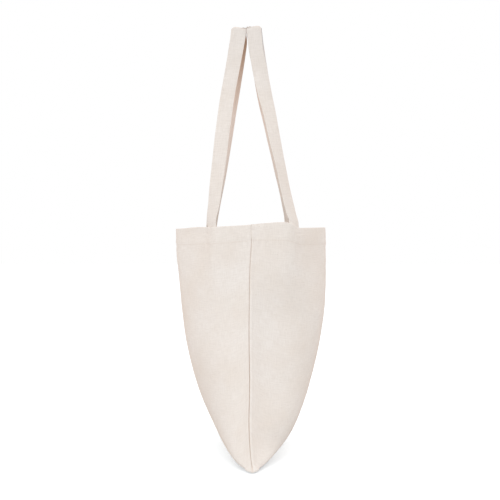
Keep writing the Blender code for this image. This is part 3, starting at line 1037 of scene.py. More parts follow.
@dataclass
class Handle:
    """One long strap: a foot inside the hem, up, over the hanging point and down again."""

    side: Side
    panel: Panel
    form: BagForm
    sewing: Sewing
    hang: Hang
    hanger_radius: float = 0.008
    hang_gap: float = 0.0003
    limb_bow: float = 1.05
    foot_rows: int = 12
    limb_rows: int = 120
    arc_rows: int = 20
    inner_columns: int = 17
    edge_angles: tuple[float, ...] = (30.0, 60.0, 90.0)
    curl_height: float = 0.040
    top_reach: float = 0.030
    top_tilt: float = 0.0046
    top_corner: float = 0.0085
    corner_reach: float = 0.0095
    corner_most: float = 0.97
    wave: float = 0.0005
    wave_waves: Waves = (10, 0.14, 0.04)
    wave_stretch: float = 0.5
    wave_start: Span = (0.03, 0.04)
    crinkle: float = 0.0026
    crinkle_pitch: float = 0.0060
    crinkle_slant: float = 0.6
    crinkle_inset: float = 0.0035
    crinkle_across: float = 0.0045
    crinkle_along: Span = (0.011, 0.006)
    edge_line: float = 0.003
    pinch: float = 0.00022
    pinch_reach: float = 0.0012
    join_distance: float = 0.000005
    middle: Array = field(init=False)
    normals: Array = field(init=False)
    length: Array = field(init=False)
    lateral: Array = field(init=False)

    def __post_init__(self) -> None:
        """Works out the strap's middle surface, its normals and the lengths along it."""
        half = self.width / 2
        edge = np.sin(np.radians(np.array(self.edge_angles)))
        inner = np.linspace(-1, 1, self.inner_columns) * (half - self.sewing.strap / 2)
        corner = half - self.sewing.strap / 2 * (1 - edge)
        self.lateral = np.concatenate([-corner[::-1], inner, corner])
        self.middle, centre = self._surface()
        steps = np.linalg.norm(np.diff(centre, axis=0), axis=1)
        self.length = np.concatenate([[0], np.cumsum(steps)])
        across = np.gradient(self.middle, self.lateral, axis=1)
        along = np.gradient(self.middle, axis=0)
        self.normals = unit(np.cross(across, along))

    @property
    def width(self) -> float:
        """The strap's finished width."""
        return self.form.strap_width

    @property
    def turn_radius(self) -> float:
        """The radius of the strap's middle as it turns over the rail."""
        return self.hanger_radius + self.sewing.strap / 2

    @property
    def hang_y(self) -> float:
        """Where the strap's middle lies along the rail."""
        return self.side.value * (self.width / 2 + self.hang_gap / 2)

    def _foot(self, end: int) -> Array:
        """The strap's middle where it lies on the hem, bottom to rim.

        Args:
            end: Which limb, 1 near the photographed side, -1 far from it.

        Returns:
            The points, as (rows, lateral, 3).
        """
        sewing, form = self.sewing, self.form
        below = np.linspace(sewing.foot_depth, 0, self.foot_rows)
        u = end * (form.foot_u - self.side.value * self.lateral / form.half_width)
        points, normal, _, _ = self.panel.at(u, 1 - below[:, None] / form.height)
        return points - normal * sewing.foot_middle

    def _limb(self, end: int, rim: Array) -> tuple[Array, Array, Array, float]:
        """A limb from the rim to where it leaves for the arc.

        The line is straight in X and nearly so in Y, and the width turns from the rim's
        direction to across the hanging rail.

        Args:
            end: Which limb, 1 near the photographed side, -1 far from it.
            rim: The strap's row at the rim.

        Returns:
            Middle points, width directions, heights above the rim and the lean at the top.
        """
        start = rim[len(rim) // 2]
        width = (rim[-1] - rim[0]) * [1, 1, 0]
        lean = math.atan2(abs(start[0]) - self.turn_radius, self.form.strap_rise)
        leave_x = self.turn_radius * math.cos(lean)
        leave_z = self.turn_radius * math.sin(lean) - self.hanger_radius
        height = np.linspace(0, leave_z - start[2], self.limb_rows + 1)[1:]
        share = 1 - height / (leave_z - start[2])
        x = end * (leave_x + (abs(start[0]) - leave_x) * share)
        y = self.hang_y + (start[1] - self.hang_y) * share**self.limb_bow
        y = y + through_knots(height, self.hang.near_shift if end > 0 else self.hang.far_shift)
        at_rim = math.atan2(width[1], width[0])
        upright = math.pi / 2
        angle = upright + (at_rim - upright) * through_knots(height, self.hang.twist)
        ways = np.stack([np.cos(angle), np.sin(angle), np.zeros_like(angle)], -1)
        return np.stack([x, y, start[2] + height], -1), ways, height, lean

    def _arc(self, lean: float) -> tuple[Array, Array]:
        """The turn over the hanging point, part of a circle.

        Args:
            lean: The limbs' angle off the vertical where they meet it.

        Returns:
            Middle points and width directions.
        """
        turn = np.linspace(math.pi / 2 - lean, lean - math.pi / 2, self.arc_rows + 2)[1:-1]
        z = self.turn_radius * np.cos(turn) - self.hanger_radius
        y = np.full_like(turn, self.hang_y)
        points = np.stack([self.turn_radius * np.sin(turn), y, z], -1)
        return points, np.tile([0.0, 1.0, 0.0], (len(turn), 1))

    def _surface(self) -> tuple[Array, Array]:
        """The whole strap's middle surface, foot to foot, carried along its centre line.

        Above the rim the cross-section keeps the foot's curl, fading with height.

        Returns:
            The surface as (rows, lateral, 3) and the centre line as (rows, 3).
        """
        feet = {end: self._foot(end) for end in (1, -1)}
        near, near_ways, height, lean = self._limb(1, feet[1][-1])
        far, far_ways, _, _ = self._limb(-1, feet[-1][-1])
        arc, arc_ways = self._arc(lean)
        middle = len(self.lateral) // 2
        foot_ways = {end: unit(foot[:, -1] - foot[:, 0]) for end, foot in feet.items()}
        centre = np.concatenate([
            feet[1][:, middle], near, arc, far[::-1], feet[-1][::-1, middle]
        ])
        ways = np.concatenate([
            foot_ways[1], near_ways, arc_ways, far_ways[::-1], foot_ways[-1][::-1]
        ])
        along = unit(np.gradient(centre, axis=0))
        ways = unit(ways - (ways * along).sum(1, keepdims=True) * along)
        out = np.cross(ways, along)
        frame = np.stack([ways, out, along], 1)
        flat = centre[:, None] + ways[:, None] * self.lateral[None, :, None]

        count = self.foot_rows
        zero = np.zeros(count)
        above = np.concatenate([zero, height, np.full(len(arc), height[-1]), height[::-1], zero])
        curl = 1 - smooth_step(above, self.curl_height / 2, self.curl_height)
        surface = flat.copy()
        halves = ((count - 1, slice(count, len(centre) // 2)),
                  (len(centre) - count, slice(len(centre) // 2, len(centre) - count)))
        for (rim, rows), end in zip(halves, (1, -1)):
            rest = np.einsum("kc,jc->jk", frame[rim], feet[end][-1] - flat[rim])
            turned = np.einsum("jk,rkc->rjc", rest, frame[rows])
            surface[rows] += turned * curl[rows, None, None]
        surface[:count] = feet[1]
        surface[-count:] = feet[-1][::-1]
        return surface + out[:, None] * self._lift(above, height[-1])[..., None], centre

    def _lift(self, above: Array, highest: float) -> Array:
        """How far the strap stands off its plain surface.

        Over the hanging point it slopes down toward the other handle, evenly with the place
        across, and rounds off at its outer corner by a quarter of an ellipse. Slanting sines
        under two bells crinkle its inner edge just below, and seeded waves run along the limbs.

        Args:
            above: Each row's height above the rim.
            highest: The height where the limbs end.

        Returns:
            Metres outward, as (rows, lateral).
        """
        top = smooth_step(above, highest - self.top_reach / 2, self.top_reach)
        outer = self.side.value * self.lateral
        bow = self.top_tilt * (outer / self.width - 0.5) + self.hang.top_raise
        past = (outer - self.width / 2) / self.corner_reach + 1
        past = np.clip(past, 0, self.corner_most)
        bow -= self.top_corner * (1 - np.sqrt(1 - past**2))
        run = np.linspace(0, self.form.strap_rise * 2, len(above))
        across, run = np.broadcast_arrays(self.lateral[None, :] * self.wave_stretch, run[:, None])
        free = smooth_step(above, *self.wave_start) * (1 - top)
        ripple = Ripples(self.hang.seed, self.wave_waves).at(across, run)
        lift = top[:, None] * bow + ripple * self.wave * free[:, None]
        from_top = run - self.form.strap_rise
        slant = even_wave((from_top + self.crinkle_slant * outer) / self.crinkle_pitch)
        pinched = bell(outer, self.crinkle_inset - self.width / 2, self.crinkle_across)
        pinched = pinched * bell(np.abs(from_top), *self.crinkle_along)
        return lift + self.crinkle * slant * pinched

    def _half_thickness(self) -> Array:
        """Half the strap's thickness: round at the edges, with dips along its stitch rows.

        Returns:
            One half thickness per place across.
        """
        half = self.width / 2
        round_edge = self.sewing.strap / 2
        past = np.clip((np.abs(self.lateral) - half + round_edge) / round_edge, 0, 1)
        dip = self.pinch * bell(np.abs(self.lateral), half - self.edge_line, self.pinch_reach)
        return (round_edge - dip) * np.sqrt(1 - past**2)

    def build(self) -> bpy.types.Object:
        """The strap as one closed mesh: a profile carried along the middle surface.

        Returns:
            The piece.
        """
        thick = self._half_thickness()[None, :, None]
        upper = self.middle + self.normals * thick
        lower = (self.middle - self.normals * thick)[:, -2:0:-1]
        ring = np.concatenate([upper, lower], axis=1)
        ends = np.concatenate([self.middle, self.middle[:, -2:0:-1]], axis=1)
        ring = np.concatenate([ends[:1], ring, ends[-1:]])
        run = np.concatenate([self.length[:1], self.length, self.length[-1:]])
        across = np.concatenate([self.lateral, self.width - self.lateral[-2:0:-1]])
        flat = np.stack(np.broadcast_arrays(across[None, :], run[:, None]), -1)
        faces = grid_faces(*ring.shape[:2], closed=True)
        name = f"{self.side.word}_strap"
        piece = add_mesh(name, ring.reshape(-1, 3), faces, flat.reshape(-1, 2))
        join_seams(piece, self.join_distance, outward=True)
        return piece

    def edge_stitches(self) -> bpy.types.Object:
        """Rows of stitches near both edges, on both faces between the feet.

        Returns:
            The rows as one piece.
        """
        sewing = self.sewing
        along = np.gradient(self.middle, axis=0)
        line = self.width / 2 - self.edge_line
        foot = self.length[self.foot_rows]
        rows, columns = np.arange(len(self.length)), np.arange(len(self.lateral))
        parts = []
        for place, face in ((-line, 1), (line, 1), (-line, -1), (line, -1)):
            start = foot if face > 0 else sewing.stitch
            run = np.arange(start, self.length[-1] - start, sewing.stitch_pitch)
            row = np.interp(run, self.length, rows)
            column = np.full(len(run), np.interp(place, self.lateral, columns))
            normal = unit(bilinear(self.normals, row, column)) * face
            centre = bilinear(self.middle, row, column)
            centre = centre + normal * (sewing.strap / 2 - self.pinch)
            parts.append((centre, unit(bilinear(along, row, column)), normal))
        return sewing.stitches(f"{self.side.word}_strap_stitches", parts)


@dataclass
class RimSewing:
    """The stitches of the rim: the hem's row all round and the crossed boxes on the feet."""

    form: BagForm
    sewing: Sewing
    panels: dict[Side, Panel]
    box_top: float = 0.0035
    box_bottom: float = 0.0235
    seam_clear: float = 0.004

    def _box(self) -> tuple[Array, Array]:
        """A crossed box round the foot's middle, in evenly spaced stitches.

        Returns:
            Stitch centres and ways, each across and up.
        """
        half = self.form.strap_width / 2 - self.sewing.box_inset
        top, bottom = -self.box_top, -self.box_bottom
        corners = np.array([[-half, top], [half, top], [half, bottom], [-half, bottom]])
        starts = corners[[0, 1, 2, 3, 0, 1]]
        stops = corners[[1, 2, 3, 0, 2, 3]]
        centres, ways = [], []
        for start, stop in zip(starts, stops):
            span = float(np.linalg.norm(stop - start))
            count = max(2, round(span / self.sewing.stitch_pitch))
            share = ((np.arange(count) + 0.5) / count)[:, None]
            centres.append(start + (stop - start) * share)
            ways.append(np.tile((stop - start) / span, (count, 1)))
        return np.concatenate(centres), np.concatenate(ways)

    def _place(self, side: Side, places: Array, ways: Array, inside: float) -> list[Row]:
        """Flat stitches brought onto both faces of the sewn layers.

        Args:
            side: The panel.
            places: Places in metres, across and up from the rim.
            ways: Directions in the same plane.
            inside: How far inside the wall's middle the inner face lies.

        Returns:
            The row on the outer face and the row on the inner one.
        """
        form = self.form
        centre, normal, across, up = self.panels[side].at(
            places[:, 0] / form.half_width, 1 + places[:, 1] / form.height
        )
        along = unit(across * ways[:, :1] + up * ways[:, 1:])
        faces = ((-self.sewing.cloth / 2, 1), (inside, -1))
        return [(centre - normal * depth, along, normal * face) for depth, face in faces]

    def build(self, side: Side) -> list[bpy.types.Object]:
        """A panel's hem row and its two crossed boxes, each as one piece with both faces.

        Args:
            side: The panel.

        Returns:
            The hem's piece and the feet's piece.
        """
        sewing, form = self.sewing, self.form
        reach = form.half_width - self.seam_clear
        across = np.arange(-reach, reach, sewing.stitch_pitch)
        row = np.stack([across, np.full_like(across, -sewing.hem_line)], -1)
        hem = self._place(side, row, np.tile([1.0, 0.0], (len(row), 1)), sewing.hem_inside)
        box, way = self._box()
        boxes = []
        for end in (1, -1):
            moved = box + [end * form.foot_u * form.half_width, 0]
            boxes += self._place(side, moved, way, sewing.foot_inside)
        return [sewing.stitches(f"{side.word}_{name}", rows)
                for name, rows in (("hem_stitches", hem), ("foot_stitches", boxes))]


class Nodes:
    """A short way to add and join the nodes of a material or a world."""

    def __init__(self, owner: bpy.types.Material | bpy.types.World) -> None:
        """Empties the owner's node tree.

        Args:
            owner: The material or world.
        """
        owner.use_nodes = True
        self.tree = owner.node_tree
        self.tree.nodes.clear()

    def feed(self, target: Socket, value: object) -> None:
        """Joins a socket to an input, or sets the input to a plain value.

        Args:
            target: The input.
            value: A socket, number or colour.
        """
        if isinstance(value, Socket):
            self.tree.links.new(value, target)
        else:
            target.default_value = value

    def add(
        self, kind: str, inputs: dict[str | int, object] | None = None, **settings: object
    ) -> bpy.types.Node:
        """Adds a node.

        Args:
            kind: Blender's own name for the node.
            inputs: What feeds each input, by its name or number.
            settings: The node's other settings.

        Returns:
            The node.
        """
        node = self.tree.nodes.new(kind)
        for key, value in settings.items():
            setattr(node, key, value)
        for key, value in (inputs or {}).items():
            self.feed(node.inputs[key], value)
        return node

    def surface(self, inputs: dict[str | int, object]) -> None:
        """Ends a material with a Principled shader, given what feeds its inputs."""
        shader = self.add("ShaderNodeBsdfPrincipled", inputs)
        self.add("ShaderNodeOutputMaterial", {"Surface": shader.outputs["BSDF"]})

    def flat(self) -> Socket:
        """The cloth's own flat places in metres."""
        return self.add("ShaderNodeUVMap", uv_map=CLOTH_MAP).outputs["UV"]

    def split(self, vector: Socket) -> tuple[Socket, Socket]:
        """A vector's X and Y."""
        parts = self.add("ShaderNodeSeparateXYZ", {"Vector": vector}).outputs
        return parts["X"], parts["Y"]

    def noise(self, scale: Span, detail: float, roughness: float, turn: float = 0.0) -> Socket:
        """Noise over the flat cloth.

        Args:
            scale: Its grain per metre across and along.
            detail: How many finer layers it has.
            roughness: How strong they are.
            turn: How far its grain is turned, in radians.

        Returns:
            Values about one half.
        """
        place = self.add("ShaderNodeMapping", {
            "Vector": self.flat(), "Scale": (*scale, 1), "Rotation": (0, 0, turn),
        })
        return self.add("ShaderNodeTexNoise", {
            "Vector": place.outputs["Vector"], "Scale": 1, "Detail": detail,
            "Roughness": roughness,
        }).outputs["Fac"]

    def math(self, kind: str, first: object, second: object = 0.0) -> Socket:
        """A Math node on two sockets or numbers."""
        return self.add("ShaderNodeMath", {0: first, 1: second}, operation=kind).outputs[0]

    def ranged(self, value: Socket, source: Span, result: Span) -> Socket:
        """The value brought from one span to another, held at the ends.

        Args:
            value: The value.
            source: Where it starts and stops.
            result: What it becomes there.

        Returns:
            The new value.
        """
        return self.add("ShaderNodeMapRange", {
            "Value": value, "From Min": source[0], "From Max": source[1],
            "To Min": result[0], "To Max": result[1],
        }).outputs["Result"]

    def mixed(self, share: Socket, first: object, second: Colour) -> Socket:
        """A colour that goes from the first to the second with the share.

        Args:
            share: 0 for the first, 1 for the second.
            first: A socket or a colour.
            second: A colour.

        Returns:
            The mixed colour.
        """
        node = self.add("ShaderNodeMix", data_type="RGBA")
        colours = [socket for socket in node.inputs if socket.type == "RGBA"]
        self.feed(node.inputs["Factor"], share)
        self.feed(colours[0], first if isinstance(first, Socket) else (*first, 1))
        self.feed(colours[1], (*second, 1))
        return next(socket for socket in node.outputs if socket.type == "RGBA")


@dataclass(frozen=True)
class SeamShade:
    """Painted shade in the side seams' grooves: the turned cloth inside the seams is darker, by
    the place across and up.
    """

    start: float
    ramp: float = 0.0012
    upper: Ramp = ((0.18, 0.30), (0.76, 0.26))
    in_hem: Ramp = ((0.380, 0.394), (1.0, 0.15))
    low: Ramp = ((0.02, 0.09), (0.35, 1.0))

    def share(self, nodes: Nodes, across: Socket, along: Socket) -> Socket:
        """The painted shade's share: a ramp past the seam's edge, times three up the seam.

        Args:
            nodes: The material being made.
            across: The flat place across.
            along: The flat place along.

        Returns:
            Shares from 0 to 1.
        """
        beside = nodes.math("ABSOLUTE", across)
        beside = nodes.ranged(beside, (self.start, self.start + self.ramp), (0, 1))
        up = nodes.math("ABSOLUTE", along)
        for ramp in (self.upper, self.in_hem, self.low):
            beside = nodes.math("MULTIPLY", beside, nodes.ranged(up, *ramp))
        return beside


@dataclass(frozen=True)
class HemLineShade:
    """Painted shade: a slightly darker line along the hem's sewn row, where the stitches draw the
    cloth in.
    """

    line: float
    ramp: Ramp = ((0.0003, 0.0013), (0.06, 0))

    def share(self, nodes: Nodes, along: Socket) -> Socket:
        """The painted shade's share, a ramp on both sides of the line."""
        off = nodes.math("SUBTRACT", nodes.math("ABSOLUTE", along), self.line)
        return nodes.ranged(nodes.math("ABSOLUTE", off), *self.ramp)


@dataclass(frozen=True)
class StrapShade:
    """A strap's tones and painted shade by the distance along it from its top.

    Near the top it is a little greyer, and the back strap's outer edge has painted shade there,
    where it turns away from the light. The inner face has painted warm bounced light, and painted
    brown shade toward the top, where the two limbs close in on it.
    """

    half: float
    top: float = 0.415
    # A little greyer toward the top.
    top_grey: Colour = (0.62, 0.58, 0.55)
    top_grey_ramp: Ramp = ((0.04, 0.16), (0.22, 0))
    # Painted shade on the back strap's outer edge near the top, where it turns away from the
    # light.
    edge: Colour = (0.36, 0.36, 0.37)
    edge_shade_ramp: Ramp = ((0.03, 0.10), (0.8, 0))
    edge_shade_inset: Span = (0.0024, 0.0008)
    edge_shade_place: Span = (0.019, 0.022)
    # Painted warm light on the inner face, for light bounced between the limbs.
    warm: Colour = (0.96, 0.80, 0.71)
    bounce_light_ramp: Ramp = ((0.18, 0.36), (0.7, 0.2))
    # Painted brown shade on the inner face near the top, where the two limbs close in.
    gap_shade_ramp: Ramp = ((0.03, 0.165), (0.84, 0))
    face_ramp: float = 0.0005

    def toned(self, nodes: Nodes, colour: Socket, across: Socket, along: Socket) -> Socket:
        """The strap's colour with its grey near the top and its painted shade and warm light.

        Args:
            nodes: The material being made.
            colour: The cloth's colour.
            across: The flat place across, which runs on past the edge on the inner face.
            along: The flat place along.

        Returns:
            The new colour.
        """
        off = nodes.math("ABSOLUTE", nodes.math("SUBTRACT", along, self.top))
        colour = nodes.mixed(nodes.ranged(off, *self.top_grey_ramp), colour, self.top_grey)

        # Painted shade on the back strap's outer edge, near the top.
        start, full = (self.half - inset for inset in self.edge_shade_inset)
        edge = nodes.ranged(nodes.math("ABSOLUTE", across), (start, full), (0, 1))
        spot = nodes.add("ShaderNodeTexCoord").outputs["Object"]
        outer = nodes.ranged(nodes.split(spot)[1], self.edge_shade_place, (0, 1))
        for factor in (outer, nodes.ranged(off, *self.edge_shade_ramp)):
            edge = nodes.math("MULTIPLY", edge, factor)
        colour = nodes.mixed(edge, colour, self.edge)

        # Painted warm light and painted brown shade on the inner face, fading down from the top.
        face = (self.half - self.face_ramp, self.half + self.face_ramp)
        inside = nodes.ranged(across, face, (0, 1))
        for ramp, tone in ((self.bounce_light_ramp, self.warm), (self.gap_shade_ramp, SHADE_BROWN)):
            share = nodes.math("MULTIPLY", nodes.ranged(off, *ramp), inside)
            colour = nodes.mixed(share, colour, tone)
        return colour


@dataclass(frozen=True)
class CottonFinish:
    """Undyed cotton in plain weave: cream threads, thicker slubs, brown seed flecks."""

    name: str
    cream: Colour
    warm: Colour
    fleck: Colour
    slub: Colour
    # Painted shade and light on the pieces that have them: the seams' grooves, the hem's sewn row
    # and the straps.
    seam: SeamShade | None = None
    hem: HemLineShade | None = None
    strap: StrapShade | None = None
    cloud_grain: Span = (14.0, 14.0)
    cloud_ramp: Ramp = ((0.35, 0.7), (0, 0.7))
    fleck_grain: Span = (420.0, 260.0)
    fleck_turn: float = 0.6
    fleck_ramp: Ramp = ((0.72, 0.80), (0, 0.25))
    slub_width: float = 0.0016
    slub_length: float = 0.014
    slub_span: Span = (0.80, 1.30)
    slub_shade: float = 0.5
    slub_depth: float = 0.00012
    thread_pitch: float = 0.00075
    thread_uneven: float = 0.8
    weave_depth: float = 0.00010
    crease_depth: float = 0.0009
    crease_grain: Span = (26.0, 18.2)
    roughness: float = 0.93
    specular: float = 0.2
    sheen: float = 0.25
    sheen_roughness: float = 0.5
    sheen_tint: Colour = (1.0, 0.62, 0.42)

    def material(self) -> bpy.types.Material:
        """The finish as nodes on the cloth's own flat places.

        Returns:
            The material.
        """
        material = bpy.data.materials.new(self.name)
        nodes = Nodes(material)
        cloud = nodes.noise(self.cloud_grain, detail=3, roughness=0.55)
        grain = (1 / self.slub_width, 1 / self.slub_length)
        warp, weft = (nodes.noise(scale, detail=2, roughness=0.6)
                      for scale in (grain, grain[::-1]))
        slubs = nodes.math("ADD", warp, weft)
        flecks = nodes.noise(self.fleck_grain, detail=1, roughness=0.5, turn=self.fleck_turn)
        colour = nodes.mixed(nodes.ranged(cloud, *self.cloud_ramp), self.cream, self.warm)
        shade = nodes.ranged(slubs, self.slub_span, (0.0, self.slub_shade))
        colour = nodes.mixed(shade, colour, self.slub)
        colour = nodes.mixed(nodes.ranged(flecks, *self.fleck_ramp), colour, self.fleck)
        nodes.surface({
            "Base Color": self._toned(nodes, colour),
            "Roughness": self.roughness,
            "Specular IOR Level": self.specular,
            "Sheen Weight": self.sheen,
            "Sheen Roughness": self.sheen_roughness,
            "Sheen Tint": (*self.sheen_tint, 1),
            "Normal": self._relief(nodes, slubs),
        })
        return material

    def _toned(self, nodes: Nodes, colour: Socket) -> Socket:
        """The colour with its painted shade, its painted warm light and the straps' grey near the
        top, on the pieces that have them.

        Args:
            nodes: The material being made.
            colour: The cloth's colour.

        Returns:
            The new colour.
        """
        across, along = nodes.split(nodes.flat())
        # Painted shade in the seam's groove.
        if self.seam is not None:
            colour = nodes.mixed(self.seam.share(nodes, across, along), colour, SHADE_BROWN)
        # Painted shade along the hem's sewn row.
        if self.hem is not None:
            colour = nodes.mixed(self.hem.share(nodes, along), colour, SHADE_BROWN)
        if self.strap is not None:
            colour = self.strap.toned(nodes, colour, across, along)
        return colour

    def _relief(self, nodes: Nodes, slubs: Socket) -> Socket:
        """Soft creases, then slubs, then the over-and-under of the threads, as bump.

        Args:
            nodes: The material being made.
            slubs: The slubs' height.

        Returns:
            The shader's normal.
        """
        creases = nodes.noise(self.crease_grain, detail=4, roughness=0.5)
        woven = nodes.math("MULTIPLY", self._thread(nodes, "X"), self._thread(nodes, "Y"))
        normal = None
        for height, depth in ((creases, self.crease_depth), (slubs, self.slub_depth),
                              (woven, self.weave_depth)):
            bump = nodes.add("ShaderNodeBump", {"Height": height, "Distance": depth})
            if normal is not None:
                nodes.feed(bump.inputs["Normal"], normal)
            normal = bump.outputs["Normal"]
        return normal

    def _thread(self, nodes: Nodes, way: str) -> Socket:
        """Parallel threads as a sine across the given way, a little uneven.

        Blender's wave turns once in WAVE_TURN of its unit, and here once for two threads.

        Args:
            nodes: The material being made.
            way: X or Y.

        Returns:
            Values from 0 to 1.
        """
        wave = nodes.add("ShaderNodeTexWave", {
            "Vector": nodes.flat(),
            "Scale": WAVE_TURN / self.thread_pitch / 2,
            "Distortion": self.thread_uneven,
            "Detail": 1,
            "Detail Scale": 0.3,
        }, bands_direction=way)
        return wave.outputs["Fac"]


@dataclass(frozen=True)
class ThreadFinish:
    """Sewing thread: twisted cream cotton, seen as fine strands."""

    name: str
    cream: Colour
    shade: Colour
    grain: float = 2200.0
    shade_ramp: Ramp = ((0.35, 0.65), (0, 1))
    roughness: float = 0.75
    sheen: float = 0.1

    def material(self) -> bpy.types.Material:
        """The finish as nodes on Object coordinates.

        Returns:
            The material.
        """
        material = bpy.data.materials.new(self.name)
        nodes = Nodes(material)
        place = nodes.add("ShaderNodeTexCoord").outputs["Object"]
        noise = nodes.add("ShaderNodeTexNoise", {
            "Vector": place, "Scale": self.grain, "Detail": 1,
        })
        share = nodes.ranged(noise.outputs["Fac"], *self.shade_ramp)
        nodes.surface({
            "Base Color": nodes.mixed(share, self.cream, self.shade),
            "Roughness": self.roughness,
            "Sheen Weight": self.sheen,
        })
        return material


@dataclass(frozen=True)
class Lamp:
    """One soft lamp: where it stands, its watts, its size and its colour."""

    name: str
    place: Place
    power: float
    size: float
    colour: Colour


@dataclass(frozen=True)
class Studio:
    """White surroundings, soft light and the camera level with the side seam."""

    camera_away: float = 1.6
    camera_y: float = 0.0064
    camera_z: float = -0.4065
    lens: float = 63.0
    sensor: float = 36.0
    near_clip: float = 0.05
    floor_z: float = -0.768
    floor_size: float = 40.0
    floor_matte: Colour = (0.62, 0.62, 0.62)
    floor_glow: Colour = (0.302, 0.322, 0.336)
    floor_share: Colour = (0.97, 0.99, 1.0)
    world: Colour = (0.905, 0.905, 0.905)
    lamps: tuple[Lamp, ...] = (
        Lamp("key", (2.4, -0.62, 0.6), 17.0, 2.0, (1.0, 0.995, 0.99)),
        Lamp("left_side", (0.0, -2.5, -0.2), 1.8, 1.2, (1.0, 0.62, 0.42)),
        Lamp("right_side", (-0.6, 2.0, 1.5), 8.8, 1.2, (1.0, 0.86, 0.77)),
    )
    lamp_aim: Place = (0.0, 0.0, -0.5)

    def camera(self) -> None:
        """The camera looks along -X from straight in front of the near side seam."""
        data = bpy.data.cameras.new("camera")
        data.lens = self.lens
        data.sensor_width = self.sensor
        data.clip_start = self.near_clip
        camera = placed("camera", data)
        camera.location = (self.camera_away, self.camera_y, self.camera_z)
        camera.rotation_euler = (math.pi / 2, 0, math.pi / 2)
        bpy.context.scene.camera = camera

    def _shown(self, nodes: Nodes, kind: str, unseen: Socket, seen: Socket) -> None:
        """Ends a tree with one shader for what is looked at and another for what it lights.

        Args:
            nodes: The tree.
            kind: Its output node.
            unseen: The shader for all rays but camera, glossy and transmission ones.
            seen: The shader for those.
        """
        path = nodes.add("ShaderNodeLightPath").outputs
        share = path["Is Camera Ray"]
        for name in ("Is Glossy Ray", "Is Transmission Ray"):
            share = nodes.math("MAXIMUM", share, path[name])
        mix = nodes.add("ShaderNodeMixShader", {"Fac": share, 1: unseen, 2: seen})
        nodes.add(kind, {"Surface": mix.outputs[0]})

    def surroundings(self) -> None:
        """The world is white to the camera and lights the bag at a plain level."""
        world = bpy.data.worlds.new("studio")
        bpy.context.scene.world = world
        nodes = Nodes(world)
        light, white = (nodes.add("ShaderNodeBackground", {"Color": (*colour, 1)}).outputs[0]
                        for colour in (self.world, WHITE))
        self._shown(nodes, "ShaderNodeOutputWorld", light, white)

    def floor(self) -> None:
        """A white floor just under the bag, which keeps the bag's shadow.

        To the camera it is a glow plus its share of the light, which pass white together
        wherever the bag's shadow doesn't reach.
        """
        half = self.floor_size / 2
        mesh = bpy.data.meshes.new("floor")
        corners = [(-half, -half), (half, -half), (half, half), (-half, half)]
        mesh.from_pydata([(x, y, self.floor_z) for x, y in corners], [], [(0, 1, 2, 3)])
        material = bpy.data.materials.new("floor_white")
        nodes = Nodes(material)
        matte, lit = (nodes.add("ShaderNodeBsdfDiffuse", {"Color": (*colour, 1)}).outputs[0]
                      for colour in (self.floor_matte, self.floor_share))
        glow = nodes.add("ShaderNodeEmission", {"Color": (*self.floor_glow, 1), "Strength": 1.0})
        both = nodes.add("ShaderNodeAddShader", {0: glow.outputs[0], 1: lit})
        self._shown(nodes, "ShaderNodeOutputMaterial", matte, both.outputs[0])
        mesh.materials.append(material)
        placed("floor", mesh)

    def light(self) -> None:
        """A large soft lamp in front of the bag, and weaker warm ones at both sides."""
        for lamp in self.lamps:
            data = bpy.data.lights.new(lamp.name, "AREA")
            data.size = lamp.size
            data.energy = lamp.power
            data.color = lamp.colour
            piece = placed(lamp.name, data)
            piece.location = lamp.place
            aim = Vector(self.lamp_aim) - Vector(lamp.place)
            piece.rotation_euler = aim.to_track_quat("-Z", "Y").to_euler()

    def build(self) -> None:
        """Everything round the bag, with plain colour handling."""
        bpy.context.scene.view_settings.view_transform = "Standard"
        self.camera()
        self.surroundings()
        self.floor()
        self.light()


def dress(
    piece: bpy.types.Object, material: bpy.types.Material, body: str | None
) -> None:
    """Gives a piece its finish and slot, and its body where it rides on one alone.

    Args:
        piece: The piece.
        material: Its finish.
        body: The body that it rides on, or None where it rides on none.
    """
    piece.data.materials.append(material)
    if body is not None:
        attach(piece, body)
    LOG.info("%s: %d faces", piece.name, len(piece.data.polygons))


